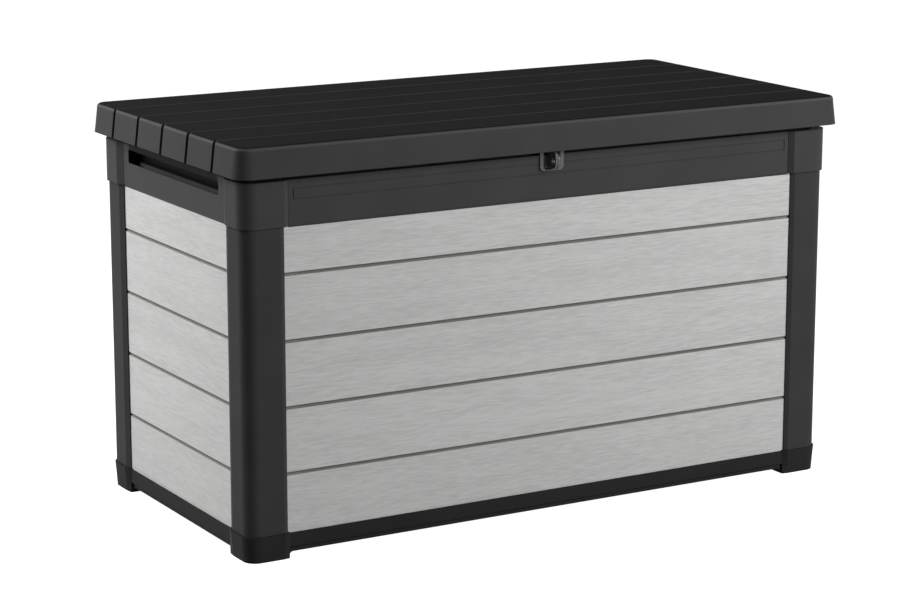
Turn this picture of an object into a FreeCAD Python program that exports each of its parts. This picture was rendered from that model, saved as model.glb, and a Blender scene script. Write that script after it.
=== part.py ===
import FreeCAD, Part
import math
import os

V = FreeCAD.Vector

# Moulded resin storage box with a hinged lid: millimetres, +Z up, front towards -Y,
# origin on the ground under the middle of the box. SET is a distance inwards from an outer face,
# and PROUD is one outwards.

# Overall sizes: the body over its corner posts, the lid's overhang, and the heights that add up
BODY_LENGTH = 1413.0
BODY_DEPTH = 685.0
LID_OVERHANG_END = 21.5
LID_OVERHANG_FRONT = 25.0
FOOT_HEIGHT = 54.0
WALL_HEIGHT = 623.5
TOP_RAIL_HEIGHT = 95.0
LID_LIFT = 11.0
LID_HEIGHT = 62.0

# Fits between mouldings, and how far a cutter or a fused rib runs past the face that it meets
GAP = 0.3
RUN = 0.05
HOLE_PLAY = 0.1
OVER = 1.0
TOUCH = 1e-6
SMALLEST_RADIUS = 4.0

# Corner posts, each arm ending in a bevel, and the step from a cap's or foot's bevel down to its rail
POST_RADIUS = 28.0
POST_WIDTH = 90.0
POST_THICK = 24.0
POST_BEVEL = 9.0
POST_SIDE_BEVEL = 16.0
POST_BEVEL_DEPTH = 5.0
BEVEL_STEP = 0.5
POST_EDGE_RADIUS = 2.5
POST_WALL = 3.2
POST_CELL_RADIUS = 2.0
POST_INNER_RADIUS = 4.0
POST_TUCK = 26.0
SLOT_DEPTH = 20.0
INNER_LIP = 6.0

# Plank panels
PANEL_SET = 7.0
PANEL_SHEET = 3.0
PANEL_TUCK = 32.0
TOP_PLANK = 94.3
PLANK_PITCH = 136.0
GROOVE_COUNT = 4
GROOVE_WIDTH = 6.0
GROOVE_DEPTH = 2.8
GROOVE_TAPER = 1.0
PANEL_RIB = 2.0
PANEL_RIB_DEPTH = 13.0
PANEL_RIB_PITCH = 116.0
PANEL_RIB_SETBACK = 100.0
PANEL_RIB_FOOT = 14.0
PANEL_RIB_HEAD = 4.0

# Bottom rail, floor and feet
FOOT_WIDTH = 94.0
FOOT_PROUD = 3.5
FOOT_TAPER = 4.0
FOOT_END_TAPER = 1.2
FOOT_BEVEL = 12.0
FOOT_SIDE_BEVEL = 19.0
FOOT_EDGE_RADIUS = 6.0
FOOT_INNER_RADIUS = 10.0
FOOT_WALL = 5.0
FOOT_ROOF = 18.0
FOOT_FILLET = 9.0
RAIL_FACE = 3.5
BASE_RAIL_DROP = 1.5
BOTTOM_RAIL_HEIGHT = 26.5
LIP_SET = 8.0
LIP_HEIGHT = 14.0
LIP_WALL = 3.5
FLOOR_SINK = 8.0
FLOOR_THICK = 3.5
FLOOR_RIB = 2.5
FLOOR_RIB_DEPTH = 22.0
FLOOR_RIBS_ACROSS = 11
FLOOR_RIBS_ALONG = 5
CURB_WALL = 2.7
CURB_HEIGHT = 14.0
CURB_CLEAR = 2.0

# Top frame: rails, corner caps and rim
RAIL_SET = 4.0
RAIL_DEPTH = 30.0
RAIL_WALL = 3.0
RAIL_CHAMFER = 2.2
RAIL_CHAMFER_HEIGHT = 6.0
RAIL_EDGE_RADIUS = 1.5
RAIL_END_GAP = 0.6
CLAMP_LIP = 16.0
CAP_PROUD = 4.5
CAP_WIDTH = 99.0
CAP_BEVEL = 11.0
CAP_SIDE_WIDTH = 94.0
CAP_SIDE_BEVEL = 19.0
CAP_EDGE_RADIUS = 3.0
CAP_INNER_RADIUS = 5.0
CAP_RISE = 3.0
CAP_SEAT_WALL = 3.3
RIM_SET = 22.0
RIM_WALL = 4.0
RIM_HEIGHT = 31.0

# Engraved outline on the front rail, its height above the panels and its distance from the ends
OUTLINE_RISE = 54.0
OUTLINE_HEIGHT = 24.0
OUTLINE_END = 109.5
OUTLINE_LINE = 2.4
OUTLINE_DEPTH = 1.2

# Hand slots in the side rails
SLOT_RISE = 54.0
SLOT_HEIGHT = 29.0
SLOT_END = 120.5
SLOT_RADIUS = 4.0

# Padlock keeper on the front rail, and the two eyes side by side, one on the keeper and one on the lid
KEEPER_WIDTH = 58.0
KEEPER_RISE = 7.0
KEEPER_HEIGHT = 40.5
KEEPER_RADIUS = 10.0
KEEPER_PROUD = 3.5
KEEPER_EDGE = 1.5
KEEPER_MOUTH = 33.0
KEEPER_BAR = 4.5
KEEPER_MOUTH_RADIUS = 7.0
KEEPER_LEAD_IN = 4.0
KEEPER_FLANGE = 6.0
KEEPER_BACK = 2.5
EYE_THICK = 5.0
EYE_GAP = 1.0
EYE_SET = 2.5
EYE_DROP = 8.0
EYE_HEIGHT = 30.0
EYE_RADIUS = 11.0
EYE_HOLE_RADIUS = 6.5
EYE_HOLE_CLEAR = 0.5
TAB_REAR_SET = 30.0
TAB_NECK_SET = 10.5
TAB_FLANGE = 24.0
TAB_FLANGE_REAR = 6.0
TAB_FLANGE_THICK = 3.0
TAB_FLANGE_RADIUS = 4.0
TAB_NECK_RADIUS = 3.0
TAB_SCREW_X = 15.6

# Lid moulding
LID_RADIUS = 32.0
LID_WALL = 4.0
LID_FLARE = 6.5
LID_ROUND = 8.0
LID_DRAFT = 2.0
SLAT_COUNT = 6
SLAT_GROOVE = 4.6
SLAT_GROOVE_DEPTH = 2.2
END_GROOVE = 11.0
END_GROOVE_DEPTH = 6.0
LID_RIB = 2.2
LID_RIB_DEPTH = 26.0
LID_RIB_PITCH = 121.0
LID_RIB_COUNT = 11
LID_BOSS_RADIUS = 5.0
SEAT_RIB = 3.0
TUBE_RADIUS = 10.0
TUBE_WALL = 1.5
TUBE_Y = 165.0
TUBE_DROP = 20.0
TUBE_END_SET = 53.0

# Hinges
HINGE_INSET = 226.5
HINGE_SET = 13.5
HINGE_RISE = 2.0
KNUCKLE_RADIUS = 7.0
PIN_RADIUS = 3.0
PIN_HEAD_RADIUS = 4.6
PIN_HEAD = 2.0
HINGE_WIDTH = 90.0
HINGE_MIDDLE = 31.0
HINGE_SCREW_PITCH = 30.0
LEAF_THICK = 3.5
LEAF_HEIGHT = 34.0
LEAF_DROP = 3.0
LEAF_RADIUS = 6.0
LEAF_BEND = 3.0
LEAF_SCREW_RISE = 15.0
ARM_UNDER_DEG = 240.0
ARM_OVER_DEG = 130.0
STRAP_FRONT_DEG = 120.0
STRAP_REAR_DEG = 30.0
LEAF_TAB_SET = 37.5
LEAF_TAB = 3.0
LEAF_TAB_SCREW_X = 10.0
LEAF_TAB_SCREW_Y = 9.0

# Gas struts: both ends lie at one radius from the hinge, so the strut turns half as far as the lid
STRUT_INSET = 27.5
STRUT_ARM = 255.0
STRUT_REST_DEG = 72.0
LID_OPEN_DEG = 82.0
CYLINDER_RADIUS = 11.0
CYLINDER_WALL = 1.6
CYLINDER_START = 14.0
CYLINDER_FLOOR = 4.0
GLAND_PLUG = 10.0
GLAND_COLLAR = 6.0
ROD_RADIUS = 5.0
ROD_END_SET = 17.0
PISTON_START = 20.0
PISTON_LENGTH = 6.0
STROKE_SPARE = 2.0
EYE_END_RADIUS = 9.0
EYE_END_WIDTH = 12.0
EYE_NECK_RADIUS = 6.0
EYE_NECK_SINK = 3.0
STUD_RADIUS = 4.0
STUD_PLAY = 1.0
STUD_HEAD_RADIUS = 6.5
STUD_HEAD = 2.0
STUD_BASE_RADIUS = 9.0
STUD_SHOULDER_RADIUS = 6.0
BRACKET_THICK = 3.0
BRACKET_SIZE = 46.0
BRACKET_RADIUS = 8.0
BRACKET_CUT_BACK = 6.0
BRACKET_SCREW_REACH = 15.0
BRACKET_REACH = 50.0
BRACKET_SCREW_X = 12.0
EAR_OFFSET = 17.0
EAR_WIDTH = 22.0
EAR_RADIUS = 10.0

# Screws
SCREW_RADIUS = 2.0
SCREW_HEAD_RADIUS = 4.2
SCREW_HEAD_TAPER = 1.0
SCREW_HEAD = 2.2
SCREW_LENGTH = 9.0

# Half sizes and heights that follow
HALF_L = BODY_LENGTH / 2
HALF_D = BODY_DEPTH / 2
LID_HALF_L = HALF_L + LID_OVERHANG_END
LID_HALF_D = HALF_D + LID_OVERHANG_FRONT
BASE_RAIL_TOP_Z = FOOT_HEIGHT - BASE_RAIL_DROP
RAIL_LOW_Z = BASE_RAIL_TOP_Z - BOTTOM_RAIL_HEIGHT
LIP_LOW_Z = RAIL_LOW_Z - LIP_HEIGHT
FOOT_CAVITY_Z = FOOT_HEIGHT - FOOT_ROOF
FLOOR_Z = FOOT_HEIGHT - FLOOR_SINK
FLOOR_RIB_LOW_Z = FLOOR_Z - FLOOR_RIB_DEPTH
CURB_TOP_Z = FLOOR_Z + CURB_HEIGHT
PANEL_SHOWN_Z = FOOT_HEIGHT + WALL_HEIGHT
PANEL_TOP_Z = PANEL_SHOWN_Z + PANEL_TUCK
GROOVE_TOP_Z = PANEL_SHOWN_Z - TOP_PLANK
POST_TOP_Z = PANEL_SHOWN_Z + POST_TUCK
CAP_LOW_Z = PANEL_SHOWN_Z + CAP_RISE
CLAMP_LIP_Z = PANEL_TOP_Z - CLAMP_LIP
PANEL_RIB_LOW_Z = FOOT_HEIGHT + PANEL_RIB_FOOT
PANEL_RIB_HIGH_Z = CLAMP_LIP_Z - PANEL_RIB_HEAD
RAIL_TOP_Z = PANEL_SHOWN_Z + TOP_RAIL_HEIGHT
RIM_TOP_Z = RAIL_TOP_Z + RIM_HEIGHT
OUTLINE_LOW_Z = PANEL_SHOWN_Z + OUTLINE_RISE
OUTLINE_HIGH_Z = OUTLINE_LOW_Z + OUTLINE_HEIGHT
SLOT_LOW_Z = PANEL_SHOWN_Z + SLOT_RISE
SLOT_HIGH_Z = SLOT_LOW_Z + SLOT_HEIGHT
KEEPER_TOP_Z = RAIL_TOP_Z + KEEPER_RISE
KEEPER_LOW_Z = KEEPER_TOP_Z - KEEPER_HEIGHT
LID_EDGE_Z = RAIL_TOP_Z + LID_LIFT
HEIGHT = LID_EDGE_Z + LID_HEIGHT
LID_SHOULDER_Z = HEIGHT - LID_ROUND
LID_SLOPE = LID_FLARE / (LID_SHOULDER_Z - LID_EDGE_Z)
LID_TOP_IN_Z = HEIGHT - LID_WALL
LID_RIB_LOW_Z = LID_TOP_IN_Z - LID_RIB_DEPTH
TUBE_Z = HEIGHT - TUBE_DROP
EYE_HIGH_Z = LID_EDGE_Z - EYE_DROP
EYE_LOW_Z = EYE_HIGH_Z - EYE_HEIGHT
EYE_HOLE_Z = (EYE_LOW_Z + EYE_HIGH_Z) / 2
LEAF_HIGH_Z = RAIL_TOP_Z - LEAF_DROP
LEAF_LOW_Z = LEAF_HIGH_Z - LEAF_HEIGHT
HINGE_Z = LID_EDGE_Z + HINGE_RISE

# Places that follow
SHEET_BACK = PANEL_SET + PANEL_SHEET
RAIL_REACH = HALF_L - CAP_WIDTH - RAIL_END_GAP
PANEL_INSET = POST_WIDTH - SLOT_DEPTH + GAP
OUTLINE_HALF = HALF_L - OUTLINE_END
SLOT_HALF = HALF_D - SLOT_END
SLAT_PITCH = 2 * LID_HALF_D / SLAT_COUNT
RIM_MIDDLE = RIM_SET + RIM_WALL / 2
TUBE_HALF = LID_HALF_L - TUBE_END_SET
EYE_REACH = LID_HALF_D - EYE_SET
EYE_HOLE_Y = HALF_D + CAP_PROUD + EYE_HOLE_CLEAR + EYE_HOLE_RADIUS
TAB_REAR_Y = LID_HALF_D - TAB_REAR_SET
TAB_NECK_Y = LID_HALF_D - TAB_NECK_SET
HINGE_Y = LID_HALF_D - HINGE_SET
LEAF_TAB_Y = LID_HALF_D - LEAF_TAB_SET
HINGE_X = HALF_L - HINGE_INSET
HINGE_PLACES = (-HINGE_X, 0.0, HINGE_X)
STRUT_X = HALF_L - POST_THICK - STRUT_INSET
BRACKET_EAR_X = STRUT_X + EAR_OFFSET
STUD_START_X = STRUT_X + EYE_END_WIDTH / 2 + STUD_PLAY
STUD_TIP_X = STRUT_X - EYE_END_WIDTH / 2 - STUD_PLAY
REST_ANGLE = math.radians(STRUT_REST_DEG)
OPEN_ANGLE = math.radians(STRUT_REST_DEG + LID_OPEN_DEG)
STRUT_TILT_DEG = STRUT_REST_DEG / 2
STRUT_FOOT = (HINGE_Y - STRUT_ARM * math.cos(REST_ANGLE), HINGE_Z - STRUT_ARM * math.sin(REST_ANGLE))
STRUT_HEAD = (HINGE_Y - STRUT_ARM, HINGE_Z)
STRUT_LENGTH = 2 * STRUT_ARM * math.sin(REST_ANGLE / 2)
STRUT_STROKE = 2 * STRUT_ARM * math.sin(OPEN_ANGLE / 2) - STRUT_LENGTH
CYLINDER_END = PISTON_START + PISTON_LENGTH + STRUT_STROKE + STROKE_SPARE + GLAND_PLUG
ROD_NECK_START = STRUT_LENGTH - ROD_END_SET


def rounded_wire(points):
    """Closed wire through (x, y, z, radius) corners, each turned with a tangent arc of its radius."""
    turns = [(V(*p[:3]), p[3]) for p in points]
    spans = []
    for i, (place, radius) in enumerate(turns):
        before = (turns[i - 1][0] - place).normalize()
        after = (turns[(i + 1) % len(turns)][0] - place).normalize()
        if radius <= 0:
            spans.append((place, None, place))
            continue
        half = before.getAngle(after) / 2
        run = radius / math.tan(half)
        middle = (before + after).normalize()
        centre = place + middle * (radius / math.sin(half))
        spans.append((place + before * run, centre - middle * radius, place + after * run))
    edges = []
    for i, (start, middle, end) in enumerate(spans):
        if middle is not None:
            edges.append(Part.Arc(start, middle, end).toShape())
        following = spans[(i + 1) % len(spans)][0]
        if end.distanceToPoint(following) > TOUCH:
            edges.append(Part.LineSegment(end, following).toShape())
    return Part.Wire(edges)


def plan_prism(points, low, high):
    """Solid standing on a plan outline of (x, y, radius) corners."""
    wire = rounded_wire([(x, y, low, r) for x, y, r in points])
    return Part.Face(wire).extrude(V(0, 0, high - low))


def end_prism(points, x_low, x_high):
    """Solid along X with an end outline of (y, z, radius) corners."""
    wire = rounded_wire([(x_low, y, z, r) for y, z, r in points])
    return Part.Face(wire).extrude(V(x_high - x_low, 0, 0))


def block(low, high):
    return Part.makeBox(high[0] - low[0], high[1] - low[1], high[2] - low[2], V(*low))


def rod(radius, start, end):
    """Round bar between two points."""
    line = V(*end) - V(*start)
    return Part.makeCylinder(radius, line.Length, V(*start), line)


def fuse(shapes):
    return shapes[0].multiFuse(shapes[1:]).removeSplitter()


def mirror_x(shape):
    return shape.mirror(V(0, 0, 0), V(1, 0, 0))


def mirror_y(shape):
    return shape.mirror(V(0, 0, 0), V(0, 1, 0))


def rectangle_wire(half_x, half_y, radius, z):
    corners = ((-half_x, -half_y), (half_x, -half_y), (half_x, half_y), (-half_x, half_y))
    return rounded_wire([(x, y, z, radius) for x, y in corners])


def body_slab(inset, low, high):
    """Rounded slab over the whole body, set in from the faces of the posts."""
    radius = max(POST_RADIUS - inset, SMALLEST_RADIUS)
    wire = rectangle_wire(HALF_L - inset, HALF_D - inset, radius, low)
    return Part.Face(wire).extrude(V(0, 0, high - low))


def body_ring(outer, inner, low, high):
    return body_slab(outer, low, high).cut(body_slab(inner, low - OVER, high + OVER))


def corner(points, low, high):
    """Prism of (u, v, radius) corners measured inwards from the front left corner of the posts."""
    return plan_prism([(u - HALF_L, v - HALF_D, r) for u, v, r in points], low, high)


def wall_prism(side, points, half):
    """Prism along one wall, outline corners (v, z, radius) with v inwards from the post faces."""
    if side == "front":
        wire = rounded_wire([(-half, v - HALF_D, z, r) for v, z, r in points])
        return Part.Face(wire).extrude(V(2 * half, 0, 0))
    wire = rounded_wire([(v - HALF_L, -half, z, r) for v, z, r in points])
    return Part.Face(wire).extrude(V(0, 2 * half, 0))


def wall_block(side, v_low, v_high, along_low, along_high, low, high):
    """Block in one wall, v inwards from the post faces, along the wall from its middle."""
    if side == "front":
        return block((along_low, v_low - HALF_D, low), (along_high, v_high - HALF_D, high))
    return block((v_low - HALF_L, along_low, low), (v_high - HALF_L, along_high, high))


def screw(place, direction):
    """Pan head screw whose head sits at the place and whose shank runs along the direction."""
    start = V(*place)
    along = V(*direction)
    head = Part.makeCone(SCREW_HEAD_RADIUS - SCREW_HEAD_TAPER, SCREW_HEAD_RADIUS, SCREW_HEAD,
                         start - along * SCREW_HEAD, along)
    return head.fuse(Part.makeCylinder(SCREW_RADIUS, SCREW_LENGTH, start, along))


def screw_hole(place, direction):
    along = V(*direction)
    start = V(*place) - along * OVER
    return Part.makeCylinder(SCREW_RADIUS + HOLE_PLAY, SCREW_LENGTH + 2 * OVER, start, along)


def arm_end(width, bevel, face, shoulder, radius):
    """Corners (u, v, radius) of the bevelled end of an arm, from its face back to its shoulder."""
    return [(width - bevel, face, radius), (width, shoulder, 0)]


def other_arm(points):
    """The same corners on the arm along the side, in the order that goes on round the outline."""
    return [(v, u, r) for u, v, r in reversed(points)]


def make_post():
    """Front left corner post: hollow L section with a slot in each arm for a panel edge."""
    front_lip = PANEL_SET - GAP
    back_lip = SHEET_BACK + GAP
    slot = POST_WIDTH - SLOT_DEPTH
    inner = POST_WIDTH - INNER_LIP
    front_end = arm_end(POST_WIDTH, POST_BEVEL, 0, POST_BEVEL_DEPTH, POST_EDGE_RADIUS)
    side_end = arm_end(POST_WIDTH, POST_SIDE_BEVEL, 0, POST_BEVEL_DEPTH, POST_EDGE_RADIUS)
    groove = [(POST_WIDTH, front_lip, 0), (slot, front_lip, 0), (slot, back_lip, 0), (inner, back_lip, 0),
              (inner, POST_THICK, POST_EDGE_RADIUS)]
    points = [(0, 0, POST_RADIUS)] + front_end + groove + [(POST_THICK, POST_THICK, POST_INNER_RADIUS)]
    points += other_arm(side_end + groove)
    solid = corner(points, FOOT_HEIGHT, POST_TOP_Z)
    near = POST_THICK + POST_WALL
    far = slot - POST_WALL
    inside = POST_THICK - POST_WALL
    within = [(POST_WALL, POST_WALL, POST_RADIUS - POST_WALL), (far, POST_WALL, 0), (far, far, 0),
              (POST_WALL, far, 0)]
    within = corner(within, FOOT_HEIGHT - OVER, POST_TOP_Z + OVER)
    for u_low, u_high, v_low, v_high in ((near, far, POST_WALL, inside), (POST_WALL, inside, near, far),
                                         (POST_WALL, inside, POST_WALL, inside)):
        cell = [(u, v, POST_CELL_RADIUS) for u, v in
                ((u_low, v_low), (u_high, v_low), (u_high, v_high), (u_low, v_high))]
        solid = solid.cut(corner(cell, FOOT_HEIGHT - OVER, POST_TOP_Z + OVER).common(within))
    return solid


def make_panel(side, half_wall):
    """Grooved plank sheet with stiffening ribs behind it, its edges held in the posts."""
    half = half_wall - PANEL_INSET
    grooves = [GROOVE_TOP_Z - i * PLANK_PITCH for i in range(GROOVE_COUNT)]
    taper = GROOVE_TAPER
    outer = [(PANEL_SET, PANEL_TOP_Z, 0)]
    inner = [(SHEET_BACK, PANEL_TOP_Z, 0)]
    for z in grooves:
        reach = GROOVE_WIDTH / 2
        outer += [(PANEL_SET, z + reach, 0), (PANEL_SET + GROOVE_DEPTH, z + reach - taper, 0),
                  (PANEL_SET + GROOVE_DEPTH, z - reach + taper, 0), (PANEL_SET, z - reach, 0)]
        back = reach + PANEL_SHEET / 2
        inner += [(SHEET_BACK, z + back, 0), (SHEET_BACK + GROOVE_DEPTH, z + back - taper, 0),
                  (SHEET_BACK + GROOVE_DEPTH, z - back + taper, 0), (SHEET_BACK, z - back, 0)]
    outer.append((PANEL_SET, FLOOR_Z, 0))
    inner.append((SHEET_BACK, FLOOR_Z, 0))
    sheet = wall_prism(side, outer + inner[::-1], half)
    rib_reach = half_wall - PANEL_RIB_SETBACK
    count = int(2 * rib_reach / PANEL_RIB_PITCH) + 1
    ribs = []
    for i in range(count):
        middle = (i - (count - 1) / 2) * PANEL_RIB_PITCH
        ribs.append(wall_block(side, SHEET_BACK - OVER, SHEET_BACK + PANEL_RIB_DEPTH, middle - PANEL_RIB / 2,
                               middle + PANEL_RIB / 2, PANEL_RIB_LOW_Z, PANEL_RIB_HIGH_Z))
    ends = (count - 1) / 2 * PANEL_RIB_PITCH + PANEL_RIB / 2
    for z in [PANEL_RIB_LOW_Z, PANEL_RIB_HIGH_Z - PANEL_RIB] + [z - PANEL_RIB / 2 for z in grooves]:
        ribs.append(wall_block(side, SHEET_BACK - OVER, SHEET_BACK + PANEL_RIB_DEPTH, -ends, ends,
                               z, z + PANEL_RIB))
    solid = fuse([sheet] + ribs)
    notch = half_wall - FOOT_WIDTH - GAP
    for sign in (-1, 1):
        low, high = sorted((sign * notch, sign * (half + OVER)))
        solid = solid.cut(wall_block(side, 0, POST_THICK, low, high, FLOOR_Z - OVER, FOOT_HEIGHT))
    # The edges inside the post slots are flat, so that a post holds them all the way up
    for sign in (-1, 1):
        low, high = sorted((sign * (half_wall - POST_WIDTH - GAP), sign * (half + OVER)))
        solid = solid.cut(wall_block(side, SHEET_BACK, POST_THICK, low, high, FLOOR_Z, PANEL_TOP_Z))
    return solid


def make_foot():
    """Front left foot: tapered block with a rounded corner and bevelled ends, hollow with a cross rib."""
    sections = []
    shoulder = RAIL_FACE - BEVEL_STEP
    for z, grow, far in ((0, FOOT_PROUD - FOOT_TAPER, FOOT_WIDTH - FOOT_END_TAPER),
                         (FOOT_HEIGHT, FOOT_PROUD, FOOT_WIDTH)):
        points = [(-grow, -grow, POST_RADIUS + grow)]
        points += arm_end(far, FOOT_BEVEL, -grow, shoulder, FOOT_EDGE_RADIUS)
        points.append((far, far, FOOT_INNER_RADIUS))
        points += other_arm(arm_end(far, FOOT_SIDE_BEVEL, -grow, shoulder, FOOT_EDGE_RADIUS))
        sections.append(rounded_wire([(u - HALF_L, v - HALF_D, z, r) for u, v, r in points]))
    solid = Part.makeLoft(sections, True, True)
    wall = FOOT_WALL
    end = FOOT_WIDTH - FOOT_END_TAPER - wall
    hollow = corner([(wall, wall, POST_RADIUS - wall), (end, wall, FOOT_EDGE_RADIUS),
                     (end, end, FOOT_EDGE_RADIUS), (wall, end, FOOT_EDGE_RADIUS)], -OVER, FOOT_CAVITY_Z)
    rib = ((FOOT_WIDTH - wall) / 2, (FOOT_WIDTH + wall) / 2)
    for (u_low, u_high), (v_low, v_high) in ((rib, (wall, end)), ((wall, end), rib)):
        hollow = hollow.cut(block((u_low - HALF_L, v_low - HALF_D, -2 * OVER),
                                  (u_high - HALF_L, v_high - HALF_D, FOOT_CAVITY_Z + OVER)))
    return solid.cut(hollow)


def make_foot_fillets():
    """Curved corners between the front left foot and the underside of the two rails beside it."""
    start = FOOT_WIDTH - FOOT_END_TAPER
    reach = FOOT_WIDTH + FOOT_FILLET
    low = LIP_LOW_Z - FOOT_FILLET
    slant = FOOT_FILLET * math.sqrt(0.5)
    pieces = []
    for swap in (False, True):
        def at(along, z):
            if swap:
                return V(LIP_SET - HALF_L, along - HALF_D, z)
            return V(along - HALF_L, LIP_SET - HALF_D, z)
        curve = Part.Arc(at(reach, LIP_LOW_Z), at(reach - slant, low + slant), at(FOOT_WIDTH, low)).toShape()
        path = [at(FOOT_WIDTH, low), at(start, low), at(start, LIP_LOW_Z + OVER), at(reach, LIP_LOW_Z + OVER),
                at(reach, LIP_LOW_Z)]
        lines = [Part.LineSegment(a, b).toShape() for a, b in zip(path, path[1:])]
        depth = V(LIP_WALL, 0, 0) if swap else V(0, LIP_WALL, 0)
        pieces.append(Part.Face(Part.Wire([curve] + lines)).extrude(depth))
    return pieces


def evenly(half, count):
    """Places of so many ribs that divide a span from -half to half into equal bays."""
    bay = 2 * half / (count + 1)
    return [(i + 1) * bay - half for i in range(count)]


def make_base():
    """Floor tray with its rail, ribs below, curbs that hold the panels, and four feet."""
    wall_back = PANEL_SET - GAP
    lip_back = LIP_SET + LIP_WALL
    pieces = [body_ring(RAIL_FACE, wall_back, RAIL_LOW_Z, BASE_RAIL_TOP_Z),
              body_ring(RAIL_FACE, lip_back, RAIL_LOW_Z - RAIL_WALL, RAIL_LOW_Z),
              body_ring(LIP_SET, lip_back, LIP_LOW_Z, RAIL_LOW_Z),
              body_slab(RAIL_FACE + OVER, FLOOR_Z - FLOOR_THICK, FLOOR_Z)]
    curb_back = SHEET_BACK + GAP + CURB_WALL
    curb = body_ring(SHEET_BACK + GAP, curb_back, FLOOR_Z - OVER, CURB_TOP_Z)
    clear = FOOT_WIDTH + CURB_CLEAR
    for sx in (-1, 1):
        for sy in (-1, 1):
            xs = sorted((sx * HALF_L, sx * (HALF_L - clear)))
            ys = sorted((sy * HALF_D, sy * (HALF_D - clear)))
            curb = curb.cut(block((xs[0], ys[0], 0), (xs[1], ys[1], CURB_TOP_Z + OVER)))
    pieces.append(curb)
    inside_x = HALF_L - LIP_SET - OVER
    inside_y = HALF_D - LIP_SET - OVER
    rib_top = FLOOR_Z - OVER
    half = FLOOR_RIB / 2
    for x in evenly(inside_x, FLOOR_RIBS_ACROSS):
        pieces.append(block((x - half, -inside_y, FLOOR_RIB_LOW_Z), (x + half, inside_y, rib_top)))
    for y in evenly(inside_y, FLOOR_RIBS_ALONG):
        pieces.append(block((-inside_x, y - half, FLOOR_RIB_LOW_Z), (inside_x, y + half, rib_top)))
    one_foot = [make_foot()] + make_foot_fillets()
    for piece in one_foot:
        pieces += [piece, mirror_x(piece), mirror_y(piece), mirror_x(mirror_y(piece))]
    return fuse(pieces)


def rail_section(side, half):
    """Box section of a top rail: face, flange, inner wall and a channel for the panel's top edge."""
    back = RAIL_DEPTH
    wall = PANEL_SET - GAP
    clamp = SHEET_BACK + GAP
    web_top = PANEL_TOP_Z + RAIL_WALL
    inner = back - RAIL_WALL
    outline = [(RAIL_SET, PANEL_SHOWN_Z + RAIL_CHAMFER_HEIGHT, 0), (RAIL_SET, RAIL_TOP_Z, RAIL_EDGE_RADIUS),
               (back, RAIL_TOP_Z, RAIL_EDGE_RADIUS), (back, CLAMP_LIP_Z, 0), (inner, CLAMP_LIP_Z, 0),
               (inner, PANEL_TOP_Z, 0), (clamp + RAIL_WALL, PANEL_TOP_Z, 0),
               (clamp + RAIL_WALL, CLAMP_LIP_Z, 0), (clamp, CLAMP_LIP_Z, 0), (clamp, PANEL_TOP_Z, 0),
               (wall, PANEL_TOP_Z, 0), (wall, PANEL_SHOWN_Z, 0), (RAIL_SET + RAIL_CHAMFER, PANEL_SHOWN_Z, 0)]
    solid = wall_prism(side, outline, half)
    cell_top = RAIL_TOP_Z - RAIL_WALL
    cell = [(wall, web_top, 0), (wall, cell_top, 0), (inner, cell_top, 0), (inner, web_top, 0)]
    cell_half = half + OVER if side == "front" else half
    return solid.cut(wall_prism(side, cell, cell_half))


def rim_ring():
    return body_ring(RIM_SET, RIM_SET + RIM_WALL, RAIL_TOP_Z - OVER, RIM_TOP_Z)


def long_rail():
    """Rail over a long wall, between the corner caps, with its part of the rim."""
    rim = rim_ring().common(block((-RAIL_REACH, -HALF_D, 0), (RAIL_REACH, 0, HEIGHT)))
    return rail_section("front", RAIL_REACH).fuse(rim).removeSplitter()


def keeper_outline(width, low, radius, top):
    half = width / 2
    return [(-half, low, radius), (half, low, radius), (half, top, 0), (-half, top, 0)]


def front_prism(points, y_low, y_high):
    """Solid along Y with a front outline of (x, z, radius) corners."""
    wire = rounded_wire([(x, y_low, z, r) for x, z, r in points])
    return Part.Face(wire).extrude(V(0, y_high - y_low, 0))


def make_front_rail():
    """Front rail with its engraved outline and the notch that the padlock keeper fills."""
    rail = long_rail()
    face = RAIL_SET - HALF_D
    line = OUTLINE_LINE
    deep = face + OUTLINE_DEPTH
    frame = block((-OUTLINE_HALF, face - OVER, OUTLINE_LOW_Z), (OUTLINE_HALF, deep, OUTLINE_HIGH_Z))
    frame = frame.cut(block((-OUTLINE_HALF + line, face - 2 * OVER, OUTLINE_LOW_Z + line),
                            (OUTLINE_HALF - line, deep + OVER, OUTLINE_HIGH_Z - line)))
    rail = rail.cut(frame)
    notch = keeper_outline(KEEPER_WIDTH + 2 * GAP, KEEPER_LOW_Z - GAP, KEEPER_RADIUS, RAIL_TOP_Z + OVER)
    return rail.cut(front_prism(notch, face - OVER, PANEL_SET - GAP - HALF_D))


def make_rear_rail(holes):
    rail = mirror_y(long_rail())
    for place, direction in holes:
        rail = rail.cut(screw_hole(place, direction))
    return rail


def eye_hole():
    """Cutter of the padlock hole, far enough forward that its line passes clear of the corner caps."""
    reach = EYE_GAP / 2 + EYE_THICK + OVER
    return rod(EYE_HOLE_RADIUS, (-reach, -EYE_HOLE_Y, EYE_HOLE_Z), (reach, -EYE_HOLE_Y, EYE_HOLE_Z))


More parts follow.
